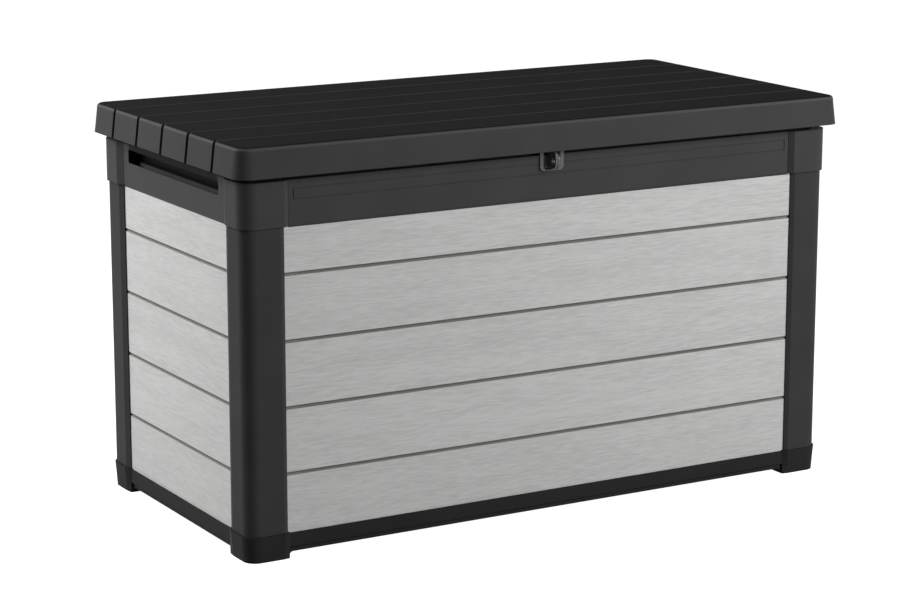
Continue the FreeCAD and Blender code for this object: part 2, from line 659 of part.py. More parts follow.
def make_keeper():
    """Insert in the front rail: a U-shaped bezel, its back plate and the fixed padlock eye."""
    wall = PANEL_SET - GAP - HALF_D
    face = RAIL_SET - HALF_D - KEEPER_PROUD
    bezel = front_prism(keeper_outline(KEEPER_WIDTH, KEEPER_LOW_Z, KEEPER_RADIUS, KEEPER_TOP_Z), face, wall)
    rim_edges = [e for e in bezel.Edges if abs(e.BoundBox.YMax - face) < TOUCH and
                 e.BoundBox.ZMin < KEEPER_TOP_Z - OVER]
    bezel = bezel.makeFillet(KEEPER_EDGE, rim_edges)
    above = KEEPER_TOP_Z + OVER
    wide = keeper_outline(KEEPER_MOUTH + 2 * KEEPER_LEAD_IN, KEEPER_LOW_Z + KEEPER_BAR - KEEPER_LEAD_IN / 2,
                          KEEPER_MOUTH_RADIUS + KEEPER_LEAD_IN / 2, above)
    narrow = keeper_outline(KEEPER_MOUTH, KEEPER_LOW_Z + KEEPER_BAR, KEEPER_MOUTH_RADIUS, above)
    mouth = front_prism(narrow, face - OVER, wall)
    chamfer = Part.makeLoft([rounded_wire([(x, y, z, r) for x, z, r in outline]) for y, outline in
                             ((face - TOUCH, wide), (face + KEEPER_LEAD_IN, narrow))], True, True)
    bezel = bezel.cut(mouth).cut(chamfer)
    plate_top = RAIL_TOP_Z - RAIL_WALL - GAP
    plate = keeper_outline(KEEPER_WIDTH + 2 * KEEPER_FLANGE, KEEPER_LOW_Z - KEEPER_FLANGE, KEEPER_RADIUS,
                           plate_top)
    flange = front_prism(plate, wall, wall + KEEPER_BACK)
    # The eye's root reaches into the plate below the rail's flange and stops at the rail's face above it
    root = wall + KEEPER_BACK / 2
    outline = [(root, EYE_LOW_Z, 0), (-EYE_REACH, EYE_LOW_Z, EYE_RADIUS),
               (-EYE_REACH, EYE_HIGH_Z, EYE_RADIUS), (wall, EYE_HIGH_Z, 0), (wall, plate_top, 0),
               (root, plate_top, 0)]
    eye = end_prism(outline, EYE_GAP / 2, EYE_GAP / 2 + EYE_THICK)
    return fuse([bezel, flange, eye]).cut(eye_hole())


def cap_outline():
    shoulder = RAIL_SET - BEVEL_STEP
    front_end = arm_end(CAP_WIDTH, CAP_BEVEL, -CAP_PROUD, shoulder, CAP_EDGE_RADIUS)
    side_end = arm_end(CAP_SIDE_WIDTH, CAP_SIDE_BEVEL, -CAP_PROUD, shoulder, CAP_EDGE_RADIUS)
    points = [(-CAP_PROUD, -CAP_PROUD, POST_RADIUS + CAP_PROUD)] + front_end
    points += [(CAP_WIDTH, RAIL_DEPTH, 0), (RAIL_DEPTH, RAIL_DEPTH, CAP_INNER_RADIUS)]
    return points + [(RAIL_DEPTH, CAP_SIDE_WIDTH, 0)] + other_arm(side_end)


def make_cap():
    """Front left corner cap: sleeve over the post's top, hollow above it, slotted for both panels."""
    cap = corner(cap_outline(), CAP_LOW_Z, RAIL_TOP_Z)
    far = POST_WIDTH + GAP
    back = POST_THICK + GAP
    shoulder = POST_BEVEL_DEPTH - GAP
    sleeve = [(-GAP, -GAP, POST_RADIUS + GAP)] + arm_end(far, POST_BEVEL + GAP, -GAP, shoulder, 0)
    sleeve += [(far, back, 0), (back, back, POST_INNER_RADIUS), (back, far, 0)]
    sleeve += other_arm(arm_end(far, POST_SIDE_BEVEL + GAP, -GAP, shoulder, 0))
    cap = cap.cut(corner(sleeve, CAP_LOW_Z - OVER, POST_TOP_Z))
    seat = CAP_SEAT_WALL
    front_end = CAP_WIDTH - 2 * seat
    side_end = CAP_SIDE_WIDTH - 2 * seat
    inner = POST_THICK - seat
    hollow = [(seat, seat, POST_RADIUS - seat), (front_end, seat, 0), (front_end, inner, 0),
              (inner, inner, 0), (inner, side_end, 0), (seat, side_end, 0)]
    cap = cap.cut(corner(hollow, POST_TOP_Z - OVER, RAIL_TOP_Z - RAIL_WALL))
    low = PANEL_SET - GAP
    high = SHEET_BACK + GAP
    start = POST_WIDTH - SLOT_DEPTH
    end = CAP_WIDTH + OVER
    for u0, u1, v0, v1 in ((start, end, low, high), (low, high, start, end)):
        slot = corner([(u0, v0, 0), (u1, v0, 0), (u1, v1, 0), (u0, v1, 0)], CAP_LOW_Z - OVER, PANEL_TOP_Z)
        cap = cap.cut(slot)
    return cap


def hand_slot():
    """Rounded bar that cuts the hand slot through the face of the left rail."""
    corners = ((-SLOT_HALF, SLOT_LOW_Z), (SLOT_HALF, SLOT_LOW_Z), (SLOT_HALF, SLOT_HIGH_Z),
               (-SLOT_HALF, SLOT_HIGH_Z))
    outline = [(y, z, SLOT_RADIUS) for y, z in corners]
    return end_prism(outline, RAIL_SET - HALF_L - OVER, PANEL_SET - HALF_L)


def make_side_frame(holes):
    """Left top frame: two corner caps and the side rail between them in one moulding."""
    cap = make_cap()
    reach = HALF_D - CAP_SIDE_WIDTH + OVER
    rim = rim_ring().cut(block((-RAIL_REACH - 2 * RAIL_END_GAP, -HALF_D, 0), (HALF_L, HALF_D, HEIGHT)))
    frame = fuse([cap, mirror_y(cap), rail_section("left", reach), rim])
    frame = frame.cut(hand_slot())
    for place, direction in holes:
        frame = frame.cut(screw_hole(place, direction))
    return frame


def lid_wire(inset, z):
    return rectangle_wire(LID_HALF_L - inset, LID_HALF_D - inset, max(LID_RADIUS - inset, SMALLEST_RADIUS), z)


def end_band(depth_out, depth_in, half_width):
    """Upright band that follows the flared end of the lid, between two depths behind its face."""
    lean = LID_SLOPE * LID_HEIGHT
    outer = [(LID_HALF_L - depth_out, LID_EDGE_Z), (LID_HALF_L - depth_out - lean, HEIGHT)]
    inner = [(LID_HALF_L - depth_in - lean, HEIGHT), (LID_HALF_L - depth_in, LID_EDGE_Z)]
    wire = rounded_wire([(x, -half_width, z, 0) for x, z in outer + inner])
    return Part.Face(wire).extrude(V(0, 2 * half_width, 0))


def slat_line(y):
    """V-shaped cutter of a line between two slats."""
    reach = SLAT_GROOVE / 2 * (1 + OVER / SLAT_GROOVE_DEPTH)
    top = HEIGHT + OVER
    points = [(y - reach, top, 0), (y, HEIGHT - SLAT_GROOVE_DEPTH, 0), (y + reach, top, 0)]
    return end_prism(points, -LID_HALF_L, LID_HALF_L)


def make_lid(screws):
    """Lid moulding: flared skirt, six slats, ribs below, bosses behind the end grooves, seat rib."""
    outside = Part.makeLoft([lid_wire(0, LID_EDGE_Z), lid_wire(LID_SLOPE * LID_HEIGHT, HEIGHT)], True, True)
    top_edges = [e for e in outside.Edges if e.BoundBox.ZMin > HEIGHT - TOUCH]
    outside = outside.makeFillet(LID_ROUND, top_edges)
    inset = LID_WALL + LID_FLARE
    inside = [lid_wire(LID_WALL - OVER * LID_SLOPE, LID_EDGE_Z - OVER), lid_wire(inset, LID_SHOULDER_Z),
              lid_wire(inset + LID_DRAFT, LID_TOP_IN_Z)]
    pieces = [outside.cut(Part.makeLoft(inside, True, True))]
    slats = [(i - (SLAT_COUNT - 2) / 2) * SLAT_PITCH for i in range(SLAT_COUNT - 1)]
    rib_x = LID_HALF_L - LID_FLARE - LID_WALL
    rib_y = LID_HALF_D - LID_FLARE - LID_WALL
    rib_top = LID_TOP_IN_Z + OVER
    half = LID_RIB / 2
    ribs = []
    for i in range(LID_RIB_COUNT):
        x = (i - (LID_RIB_COUNT - 1) / 2) * LID_RIB_PITCH
        ribs.append(block((x - half, -rib_y, LID_RIB_LOW_Z), (x + half, rib_y, rib_top)))
    for y in slats:
        ribs.append(block((-rib_x, y - half, LID_RIB_LOW_Z), (rib_x, y + half, rib_top)))
    ribs = fuse(ribs)
    opening = TUBE_RADIUS + GAP
    for y in (-TUBE_Y, TUBE_Y):
        ribs = ribs.cut(rod(opening, (-TUBE_HALF - OVER, y, TUBE_Z), (TUBE_HALF + OVER, y, TUBE_Z)))
        ribs = ribs.cut(block((-TUBE_HALF - OVER, y - opening, LID_RIB_LOW_Z - OVER),
                              (TUBE_HALF + OVER, y + opening, TUBE_Z)))
    seat_low = RIM_TOP_Z + GAP
    seat_out = RIM_MIDDLE - SEAT_RIB / 2
    pieces += [ribs, body_ring(seat_out, seat_out + SEAT_RIB, seat_low, rib_top)]
    for y in slats:
        boss = end_band(LID_WALL - OVER, END_GROOVE_DEPTH + LID_WALL, END_GROOVE / 2 + LID_WALL)
        boss.translate(V(0, y, 0))
        boss = boss.common(outside)
        pieces += [boss, mirror_x(boss)]
    for (x, y, z), direction in screws:
        pieces.append(rod(LID_BOSS_RADIUS, (x, y, LID_RIB_LOW_Z), (x, y, rib_top)))
    lid = fuse(pieces)
    for y in slats:
        groove = end_band(-OVER, END_GROOVE_DEPTH, END_GROOVE / 2)
        groove.translate(V(0, y, 0))
        lid = lid.cut(groove).cut(mirror_x(groove)).cut(slat_line(y))
    for place, direction in screws:
        lid = lid.cut(screw_hole(place, direction))
    return lid


def make_tab():
    """Padlock tab of the lid: an eye beside the keeper's eye, on a flange under the lid's ribs."""
    points = [(-TAB_REAR_Y, EYE_LOW_Z, TAB_NECK_RADIUS), (-EYE_REACH, EYE_LOW_Z, EYE_RADIUS),
              (-EYE_REACH, EYE_HIGH_Z, EYE_RADIUS / 2), (-TAB_NECK_Y, LID_EDGE_Z, TAB_NECK_RADIUS),
              (-TAB_NECK_Y, LID_RIB_LOW_Z, 0), (-TAB_REAR_Y, LID_RIB_LOW_Z, 0)]
    fin = end_prism(points, -EYE_GAP / 2 - EYE_THICK, -EYE_GAP / 2)
    rear = TAB_FLANGE_REAR - TAB_REAR_Y
    places = ((-TAB_FLANGE, -TAB_NECK_Y), (TAB_FLANGE, -TAB_NECK_Y), (TAB_FLANGE, rear), (-TAB_FLANGE, rear))
    outline = [(x, y, TAB_FLANGE_RADIUS) for x, y in places]
    flange = plan_prism(outline, LID_RIB_LOW_Z - TAB_FLANGE_THICK, LID_RIB_LOW_Z)
    tab = fuse([fin, flange]).cut(eye_hole())
    for place, direction in tab_screws():
        tab = tab.cut(screw_hole(place, direction))
    return tab


def tab_screws():
    y = (TAB_FLANGE_REAR - TAB_NECK_Y - TAB_REAR_Y) / 2
    return [((side * TAB_SCREW_X, y, LID_RIB_LOW_Z - TAB_FLANGE_THICK), (0, 0, 1)) for side in (-1, 1)]


def make_tube(sign):
    y = sign * TUBE_Y
    bore = TUBE_RADIUS - TUBE_WALL
    tube = rod(TUBE_RADIUS, (-TUBE_HALF, y, TUBE_Z), (TUBE_HALF, y, TUBE_Z))
    return tube.cut(rod(bore, (-TUBE_HALF - OVER, y, TUBE_Z), (TUBE_HALF + OVER, y, TUBE_Z)))


def knuckle(x_low, x_high):
    return rod(KNUCKLE_RADIUS, (x_low, HINGE_Y, HINGE_Z), (x_high, HINGE_Y, HINGE_Z))


def pin_bore(x):
    return rod(PIN_RADIUS + RUN, (x - HINGE_WIDTH, HINGE_Y, HINGE_Z), (x + HINGE_WIDTH, HINGE_Y, HINGE_Z))


def on_knuckle(degrees, radius):
    """Point (y, z, 0) at an angle round the hinge axis, for the corners of an end outline."""
    turn = math.radians(degrees)
    return HINGE_Y + radius * math.cos(turn), HINGE_Z + radius * math.sin(turn), 0


def hinge_screws_body(x):
    y = HALF_D - RAIL_SET + LEAF_THICK
    z = LEAF_LOW_Z + LEAF_SCREW_RISE
    return [((x + side * HINGE_SCREW_PITCH, y, z), (0, -1, 0)) for side in (-1, 0, 1)]


def make_body_leaf(x):
    """Hinge leaf on the rear rail: a plate and two curved arms that carry the outer knuckles."""
    face = HALF_D - RAIL_SET
    half = HINGE_WIDTH / 2
    plate = front_prism([(x - half, LEAF_LOW_Z, LEAF_RADIUS), (x + half, LEAF_LOW_Z, LEAF_RADIUS),
                         (x + half, LEAF_HIGH_Z, 0), (x - half, LEAF_HIGH_Z, 0)], face, face + LEAF_THICK)
    arm_points = [(face, LEAF_HIGH_Z - LEAF_THICK, 0), (face + LEAF_THICK, LEAF_HIGH_Z - LEAF_THICK, 0),
                  (face + LEAF_THICK, LEAF_HIGH_Z, LEAF_BEND), on_knuckle(ARM_UNDER_DEG, KNUCKLE_RADIUS),
                  (HINGE_Y, HINGE_Z, 0), on_knuckle(ARM_OVER_DEG, KNUCKLE_RADIUS),
                  (face, RAIL_TOP_Z - RAIL_EDGE_RADIUS, 0)]
    middle = HINGE_MIDDLE / 2 + GAP
    pieces = [plate]
    for low_x, high_x in ((x - half, x - middle), (x + middle, x + half)):
        pieces += [end_prism(arm_points, low_x, high_x), knuckle(low_x, high_x)]
    leaf = fuse(pieces).cut(pin_bore(x))
    for place, direction in hinge_screws_body(x):
        leaf = leaf.cut(screw_hole(place, direction))
    return leaf


def hinge_screws_lid(x):
    z = LID_RIB_LOW_Z - LEAF_TAB
    y = LEAF_TAB_Y + LEAF_TAB_SCREW_Y
    return [((x + side * LEAF_TAB_SCREW_X, y, z), (0, 0, 1)) for side in (-1, 1)]


def make_lid_leaf(x):
    """Hinge leaf of the lid: middle knuckle, a strap up the rear skirt and a tab under the ribs."""
    def skirt(z):
        return LID_HALF_D - LID_WALL - GAP - LID_SLOPE * (z - LID_EDGE_Z)
    top = LID_RIB_LOW_Z
    low = HINGE_Z + KNUCKLE_RADIUS
    half = HINGE_MIDDLE / 2
    root = KNUCKLE_RADIUS - OVER
    points = [on_knuckle(STRAP_FRONT_DEG, root), on_knuckle(STRAP_REAR_DEG, root),
              (skirt(low), low, LEAF_BEND), (skirt(top), top, 0), (LEAF_TAB_Y, top, 0),
              (LEAF_TAB_Y, top - LEAF_TAB, 0),
              (skirt(top) - LEAF_THICK - LEAF_BEND, top - LEAF_TAB, LEAF_BEND),
              (skirt(low) - LEAF_THICK - LEAF_BEND, low + LEAF_BEND, LEAF_BEND)]
    leaf = fuse([end_prism(points, x - half, x + half), knuckle(x - half, x + half)]).cut(pin_bore(x))
    for place, direction in hinge_screws_lid(x):
        leaf = leaf.cut(screw_hole(place, direction))
    return leaf


def make_pin(x):
    half = HINGE_WIDTH / 2
    shank = rod(PIN_RADIUS, (x - half, HINGE_Y, HINGE_Z), (x + half + PIN_HEAD, HINGE_Y, HINGE_Z))
    head = rod(PIN_HEAD_RADIUS, (x - half - PIN_HEAD, HINGE_Y, HINGE_Z), (x - half, HINGE_Y, HINGE_Z))
    return fuse([shank, head])


def along_strut(x, pieces):
    """Turns pieces built upwards from the origin onto the strut's line, from its lower stud."""
    solid = fuse(pieces) if len(pieces) > 1 else pieces[0]
    solid.rotate(V(0, 0, 0), V(1, 0, 0), STRUT_TILT_DEG)
    solid.translate(V(x, STRUT_FOOT[0], STRUT_FOOT[1]))
    return solid


def strut_eye(at, neck_low, neck_high):
    half = EYE_END_WIDTH / 2
    ring = rod(EYE_END_RADIUS, (-half, 0, at), (half, 0, at))
    neck = rod(EYE_NECK_RADIUS, (0, 0, neck_low), (0, 0, neck_high))
    bore = rod(STUD_RADIUS + RUN, (-half - OVER, 0, at), (half + OVER, 0, at))
    return fuse([ring, neck]).cut(bore)


def make_cylinder(x):
    tube = rod(CYLINDER_RADIUS, (0, 0, CYLINDER_START), (0, 0, CYLINDER_END))
    floor = CYLINDER_START + CYLINDER_FLOOR
    bore = rod(CYLINDER_RADIUS - CYLINDER_WALL, (0, 0, floor), (0, 0, CYLINDER_END + OVER))
    return along_strut(x, [tube.cut(bore)])


def make_gland(x):
    plug = rod(CYLINDER_RADIUS - CYLINDER_WALL - RUN, (0, 0, CYLINDER_END - GLAND_PLUG), (0, 0, CYLINDER_END))
    top = CYLINDER_END + GLAND_COLLAR
    collar = rod(CYLINDER_RADIUS, (0, 0, CYLINDER_END), (0, 0, top))
    bore = rod(ROD_RADIUS + RUN, (0, 0, CYLINDER_END - GLAND_PLUG - OVER), (0, 0, top + OVER))
    return along_strut(x, [fuse([plug, collar]).cut(bore)])


def make_rod(x):
    shank = rod(ROD_RADIUS, (0, 0, PISTON_START), (0, 0, ROD_NECK_START))
    piston = rod(CYLINDER_RADIUS - CYLINDER_WALL - 2 * RUN, (0, 0, PISTON_START),
                 (0, 0, PISTON_START + PISTON_LENGTH))
    return along_strut(x, [shank, piston])


def make_lower_eye(x):
    return along_strut(x, [strut_eye(0, EYE_END_RADIUS - EYE_NECK_SINK, CYLINDER_START)])


def make_upper_eye(x):
    neck_high = STRUT_LENGTH - EYE_END_RADIUS + EYE_NECK_SINK
    return along_strut(x, [strut_eye(STRUT_LENGTH, ROD_NECK_START, neck_high)])


def stud(face, y, z):
    """Stud of the right side: a cone on its bracket, a shank through a strut's eye and a round head."""
    cone = Part.makeCone(STUD_BASE_RADIUS, STUD_SHOULDER_RADIUS, face - STUD_START_X, V(face, y, z),
                         V(-1, 0, 0))
    return [cone, rod(STUD_RADIUS, (face, y, z), (STUD_TIP_X, y, z)),
            rod(STUD_HEAD_RADIUS, (STUD_TIP_X, y, z), (STUD_TIP_X - STUD_HEAD, y, z))]


def lower_bracket_screws():
    y, z = STRUT_FOOT
    x = HALF_L - POST_THICK - BRACKET_THICK
    return [((x, y + BRACKET_CUT_BACK / 2, z + side * BRACKET_SCREW_REACH), (1, 0, 0)) for side in (-1, 1)]


def make_lower_bracket():
    """Bracket of the right strut on the inner face of the rear post, with its stud."""
    y, z = STRUT_FOOT
    inner = HALF_L - POST_THICK - BRACKET_THICK
    half = BRACKET_SIZE / 2
    front = y - half + BRACKET_CUT_BACK
    plate = end_prism([(front, z - half, BRACKET_RADIUS), (y + half, z - half, BRACKET_RADIUS),
                       (y + half, z + half, BRACKET_RADIUS), (front, z + half, BRACKET_RADIUS)],
                      inner, inner + BRACKET_THICK)
    bracket = fuse([plate] + stud(inner, y, z))
    for place, direction in lower_bracket_screws():
        bracket = bracket.cut(screw_hole(place, direction))
    return bracket


def upper_bracket_screws():
    x = BRACKET_EAR_X - BRACKET_REACH + BRACKET_SCREW_X
    z = LID_RIB_LOW_Z - BRACKET_THICK
    return [((x, STRUT_HEAD[0] + side * BRACKET_SCREW_REACH, z), (0, 0, 1)) for side in (-1, 1)]


def make_upper_bracket():
    """Bracket of the right strut under the lid's ribs: a flange, an ear and its stud."""
    y, z = STRUT_HEAD
    half = BRACKET_SIZE / 2
    x_low = BRACKET_EAR_X - BRACKET_REACH
    x_high = BRACKET_EAR_X + BRACKET_THICK
    under = LID_RIB_LOW_Z - BRACKET_THICK
    plate = plan_prism([(x_low, y - half, BRACKET_RADIUS), (x_high, y - half, 0), (x_high, y + half, 0),
                        (x_low, y + half, BRACKET_RADIUS)], under, LID_RIB_LOW_Z)
    low = z - EAR_WIDTH / 2
    ear = end_prism([(y - EAR_WIDTH / 2, low, EAR_RADIUS), (y + EAR_WIDTH / 2, low, EAR_RADIUS),
                     (y + half, under + OVER, 0), (y - half, under + OVER, 0)], BRACKET_EAR_X, x_high)
    bracket = fuse([plate, ear] + stud(BRACKET_EAR_X, y, z))
    for place, direction in upper_bracket_screws():
        bracket = bracket.cut(screw_hole(place, direction))
    return bracket


def frame_screw_places():
    """Screws through the caps' inner walls into the posts, one in each arm of the left corners."""
    z = (CAP_LOW_Z + POST_TOP_Z) / 2
    u = POST_WIDTH / 2
    places = []
    for sy in (-1, 1):
        places.append(((u - HALF_L, sy * (HALF_D - RAIL_DEPTH), z), (0, sy, 0)))
        places.append(((RAIL_DEPTH - HALF_L, sy * (HALF_D - u), z), (-1, 0, 0)))
    return places


def export(name, shape):
    if shape.ShapeType == "Compound" and len(shape.Solids) == 1:
        shape = shape.Solids[0]
    if not shape.isValid() or not shape.Solids:
        raise ValueError(name + " is not a valid solid")
    shape.exportStep("parts/" + name + ".step")
    box = shape.BoundBox
    print(name, len(shape.Solids), round(shape.Volume / 1000, 1), "cm3",
          [round(c, 1) for c in (box.XMin, box.YMin, box.ZMin, box.XMax, box.YMax, box.ZMax)])


def main():
    os.makedirs("parts", exist_ok=True)
    frame_screws = frame_screw_places()
    bracket_screws = lower_bracket_screws()

    export("base_tray", make_base())

    post = make_post()
    front_post = post
    rear_post = mirror_y(post)
    for place, direction in frame_screws:
        hole = screw_hole(place, direction)
        front_post = front_post.cut(hole)
        rear_post = rear_post.cut(hole)
    export("corner_post_front_left", front_post)
    export("corner_post_front_right", mirror_x(front_post))
    bracket_holes = [mirror_x(screw_hole(place, direction)) for place, direction in bracket_screws]
    for hole in bracket_holes:
        rear_post = rear_post.cut(hole)
    export("corner_post_rear_left", rear_post)
    export("corner_post_rear_right", mirror_x(rear_post))

    front_panel = make_panel("front", HALF_L)
    side_panel = make_panel("left", HALF_D)
    export("front_panel", front_panel)
    export("rear_panel", mirror_y(front_panel))
    export("left_panel", side_panel)
    export("right_panel", mirror_x(side_panel))

    body_hinge_screws = [entry for x in HINGE_PLACES for entry in hinge_screws_body(x)]
    lid_hinge_screws = [entry for x in HINGE_PLACES for entry in hinge_screws_lid(x)]
    export("front_rail", make_front_rail())
    export("rear_rail", make_rear_rail(body_hinge_screws))
    side_frame = make_side_frame(frame_screws)
    export("side_frame_left", side_frame)
    export("side_frame_right", mirror_x(side_frame))
    export("padlock_keeper", make_keeper())

    for name, x in zip(("left", "middle", "right"), HINGE_PLACES):
        export("hinge_leaf_body_" + name, make_body_leaf(x))
        export("hinge_leaf_lid_" + name, make_lid_leaf(x))
        export("hinge_pin_" + name, make_pin(x))

    lower_bracket = make_lower_bracket()
    upper_bracket = make_upper_bracket()
    export("strut_bracket_lower_left", mirror_x(lower_bracket))
    export("strut_bracket_lower_right", lower_bracket)
    export("strut_bracket_upper_left", mirror_x(upper_bracket))
    export("strut_bracket_upper_right", upper_bracket)
    for name, x in (("left", -STRUT_X), ("right", STRUT_X)):
        export("strut_cylinder_" + name, make_cylinder(x))
        export("strut_gland_" + name, make_gland(x))
        export("strut_eye_lower_" + name, make_lower_eye(x))
        export("strut_rod_" + name, make_rod(x))
        export("strut_eye_upper_" + name, make_upper_eye(x))

    upper_screws = upper_bracket_screws()
    mirrored = [((-x, y, z), direction) for (x, y, z), direction in upper_screws]
    export("lid_shell", make_lid(lid_hinge_screws + upper_screws + mirrored + tab_screws()))
    export("lid_lock_tab", make_tab())
    export("lid_tube_front", make_tube(-1))
    export("lid_tube_rear", make_tube(1))

    left_frame = [screw(place, direction) for place, direction in frame_screws]
    export("frame_screws", Part.makeCompound(left_frame + [mirror_x(s) for s in left_frame]))
    export("hinge_screws_body", Part.makeCompound([screw(p, d) for p, d in body_hinge_screws]))
    export("hinge_screws_lid", Part.makeCompound([screw(p, d) for p, d in lid_hinge_screws]))
    right_bracket = [screw(place, direction) for place, direction in bracket_screws]
    export("strut_screws_lower", Part.makeCompound(right_bracket + [mirror_x(s) for s in right_bracket]))
    export("strut_screws_upper", Part.makeCompound([screw(p, d) for p, d in upper_screws + mirrored]))
    export("lock_tab_screws", Part.makeCompound([screw(p, d) for p, d in tab_screws()]))


main()
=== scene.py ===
import math

import bmesh
import bpy
import numpy as np
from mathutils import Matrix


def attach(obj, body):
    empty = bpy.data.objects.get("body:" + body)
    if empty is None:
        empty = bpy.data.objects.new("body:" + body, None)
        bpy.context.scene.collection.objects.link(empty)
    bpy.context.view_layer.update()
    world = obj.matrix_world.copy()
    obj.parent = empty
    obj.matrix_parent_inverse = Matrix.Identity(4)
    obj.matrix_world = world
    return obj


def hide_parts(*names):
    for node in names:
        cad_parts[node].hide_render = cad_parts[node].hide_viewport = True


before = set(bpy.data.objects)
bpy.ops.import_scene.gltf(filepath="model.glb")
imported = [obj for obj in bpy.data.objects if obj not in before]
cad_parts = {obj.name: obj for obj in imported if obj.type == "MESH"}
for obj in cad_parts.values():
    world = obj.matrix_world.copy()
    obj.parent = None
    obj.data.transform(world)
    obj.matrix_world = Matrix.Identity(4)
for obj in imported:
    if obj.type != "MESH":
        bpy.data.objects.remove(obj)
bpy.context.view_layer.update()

bl_info = {
    "name": "Plank Storage Box",
    "version": (1, 0, 0),
    "blender": (4, 5, 0),
    "location": "View3D > Sidebar > Storage Box",
    "description": "Finishes a plank storage box: resin, planks, steel, screws, gas struts and a studio",
    "category": "Object",
}

PANELS = ("front_panel", "rear_panel", "left_panel", "right_panel")
BOTH = (-1, 1)

# Painted shade in the hand slots of the side frames and on the strip above them up to the lid's edge: half
# its length, its lowest and highest points, how far it reaches from the middle of the box, and how its edges
# fade
SLOT_HALF = 0.2180
SLOT_LOW = 0.7310
SLOT_HIGH = 0.7700
SLOT_FACE = 0.7110
SLOT_FADE = 0.0030
SLOT_EDGE = 0.0020
SLOT_PAINTED_SHADE = (0.0008, 0.0008, 0.0008)

# Pan-head screw: head, cross recess, shank and thread
HEAD_RADIUS = 0.0042
HEAD_HEIGHT = 0.0022
RECESS_HALF_WIDTH = 0.00060
RECESS_SLOPE = 0.00025
RECESS_REACH = 0.00235
RECESS_RUN = 0.00050
RECESS_DEPTH = 0.0013
SHANK_RADIUS = 0.0020
SHANK_LENGTH = 0.0090
THREAD_PITCH = 0.0014
THREAD_DEPTH = 0.00045
TIP_SHARE = 0.22
SAME_PLACE = 1e-6

# Where the screws' seats are, and which way their heads face
HINGE_X = (-0.480, 0.0, 0.480)
UNDER_LID_Z = 0.8125
CAP_SCREW_Z = 0.692
ALONG_CAP_SCREWS = [((x * 0.6615, y * 0.3125, CAP_SCREW_Z), (0, -y, 0)) for x in BOTH for y in BOTH]
ACROSS_CAP_SCREWS = [((x * 0.6765, y * 0.2975, CAP_SCREW_Z), (-x, 0, 0)) for x in BOTH for y in BOTH]
SCREW_GROUPS = {
    "frame_screws": ("box", ALONG_CAP_SCREWS + ACROSS_CAP_SCREWS),
    "hinge_screws_body": (
        "box", [((x + side * 0.030, 0.3420, 0.7505), (0, 1, 0)) for x in HINGE_X for side in (-1, 0, 1)]),
    "hinge_screws_lid": (
        "lid", [((x + side * 0.010, 0.3390, UNDER_LID_Z), (0, 0, -1)) for x in HINGE_X for side in BOTH]),
    "lock_tab_screws": (
        "lid", [((side * 0.0156, -0.34425, UNDER_LID_Z), (0, 0, -1)) for side in BOTH]),
    "strut_screws_lower": (
        "box", [((x * 0.6795, 0.2782, z), (-x, 0, 0)) for x in BOTH for z in (0.52798, 0.55798)]),
    "strut_screws_upper": (
        "lid", [((x * 0.6340, y, UNDER_LID_Z), (0, 0, -1)) for x in BOTH for y in (0.084, 0.114)]),
}

# Grain of the planks: how far each plank's pattern is moved, sizes of bands and flecks counted in streaks,
# the noise's planes that they lie in, shares of the patterns, and depth of the relief
PLANK_SHIFT = 7.31
TONE_SHIFT = 0.37
BAND_LENGTH = 6
BAND_HEIGHT = 7
FLECK_LENGTH = 1.7
FLECK_HEIGHT = 1.5
BAND_PLANE = 3.7
TONE_PLANE = 1.9
FLECK_PLANE = 8.1
STREAK_SHARE = 0.72
BAND_SHARE = 0.28
TONE_SHARE = 0.10
GRAIN_DEPTH = 0.00035

# Dark resin: cells of its patterns to the metre, blur of the slats' edge, and depth of the relief
SPARK_SCALE = 900.0
CLOUD_SCALE = 9.0
SLAT_GRAIN_ALONG = 9.0
SLAT_GRAIN_ACROSS = 240.0
SLAT_BLUR = 0.002
RESIN_DEPTH = 0.00012

# Metal: cells of its patterns to the metre, depths of the reliefs, roundings of the edges, and colours
TURNING_ALONG = 2500.0
TURNING_ACROSS = 400.0
PLATING_SCALE = 45.0
PEEL_SCALE = 380.0
COAT_SCALE = 30.0
TURNING_DEPTH = 0.00003
PEEL_DEPTH = 0.00006
STEEL_ROUNDING = 0.0003
PAINT_ROUNDING = 0.0004
GALVANISED = (0.55, 0.56, 0.57)
PLATED = (0.62, 0.62, 0.63)
SCREW_STEEL = (0.60, 0.60, 0.61)
GROUND_STEEL = (0.66, 0.66, 0.67)
STRUT_BLACK = (0.016, 0.016, 0.017)

# Studio: each soft box's place, the point that it faces and its width and height; floor; camera
SOFT_BOXES = {
    "left": ((-2.7, 1.9, 2.4), (-0.7, 0.0, 0.5), 2.6, 2.2),
    "front": ((2.4, -3.8, 2.2), (0.2, 0.0, 0.5), 2.6, 2.2),
    "top": ((0.4, 0.9, 3.4), (0.0, 0.0, 0.5), 3.0, 2.4),
}
FLOOR_BOUNCE = (0.30, 0.30, 0.30)
FLOOR_SEEN = (0.40, 0.40, 0.40)
WHITE = (1.0, 1.0, 1.0)
FLOOR_SIDES = 96
SENSOR_WIDTH = 36.0


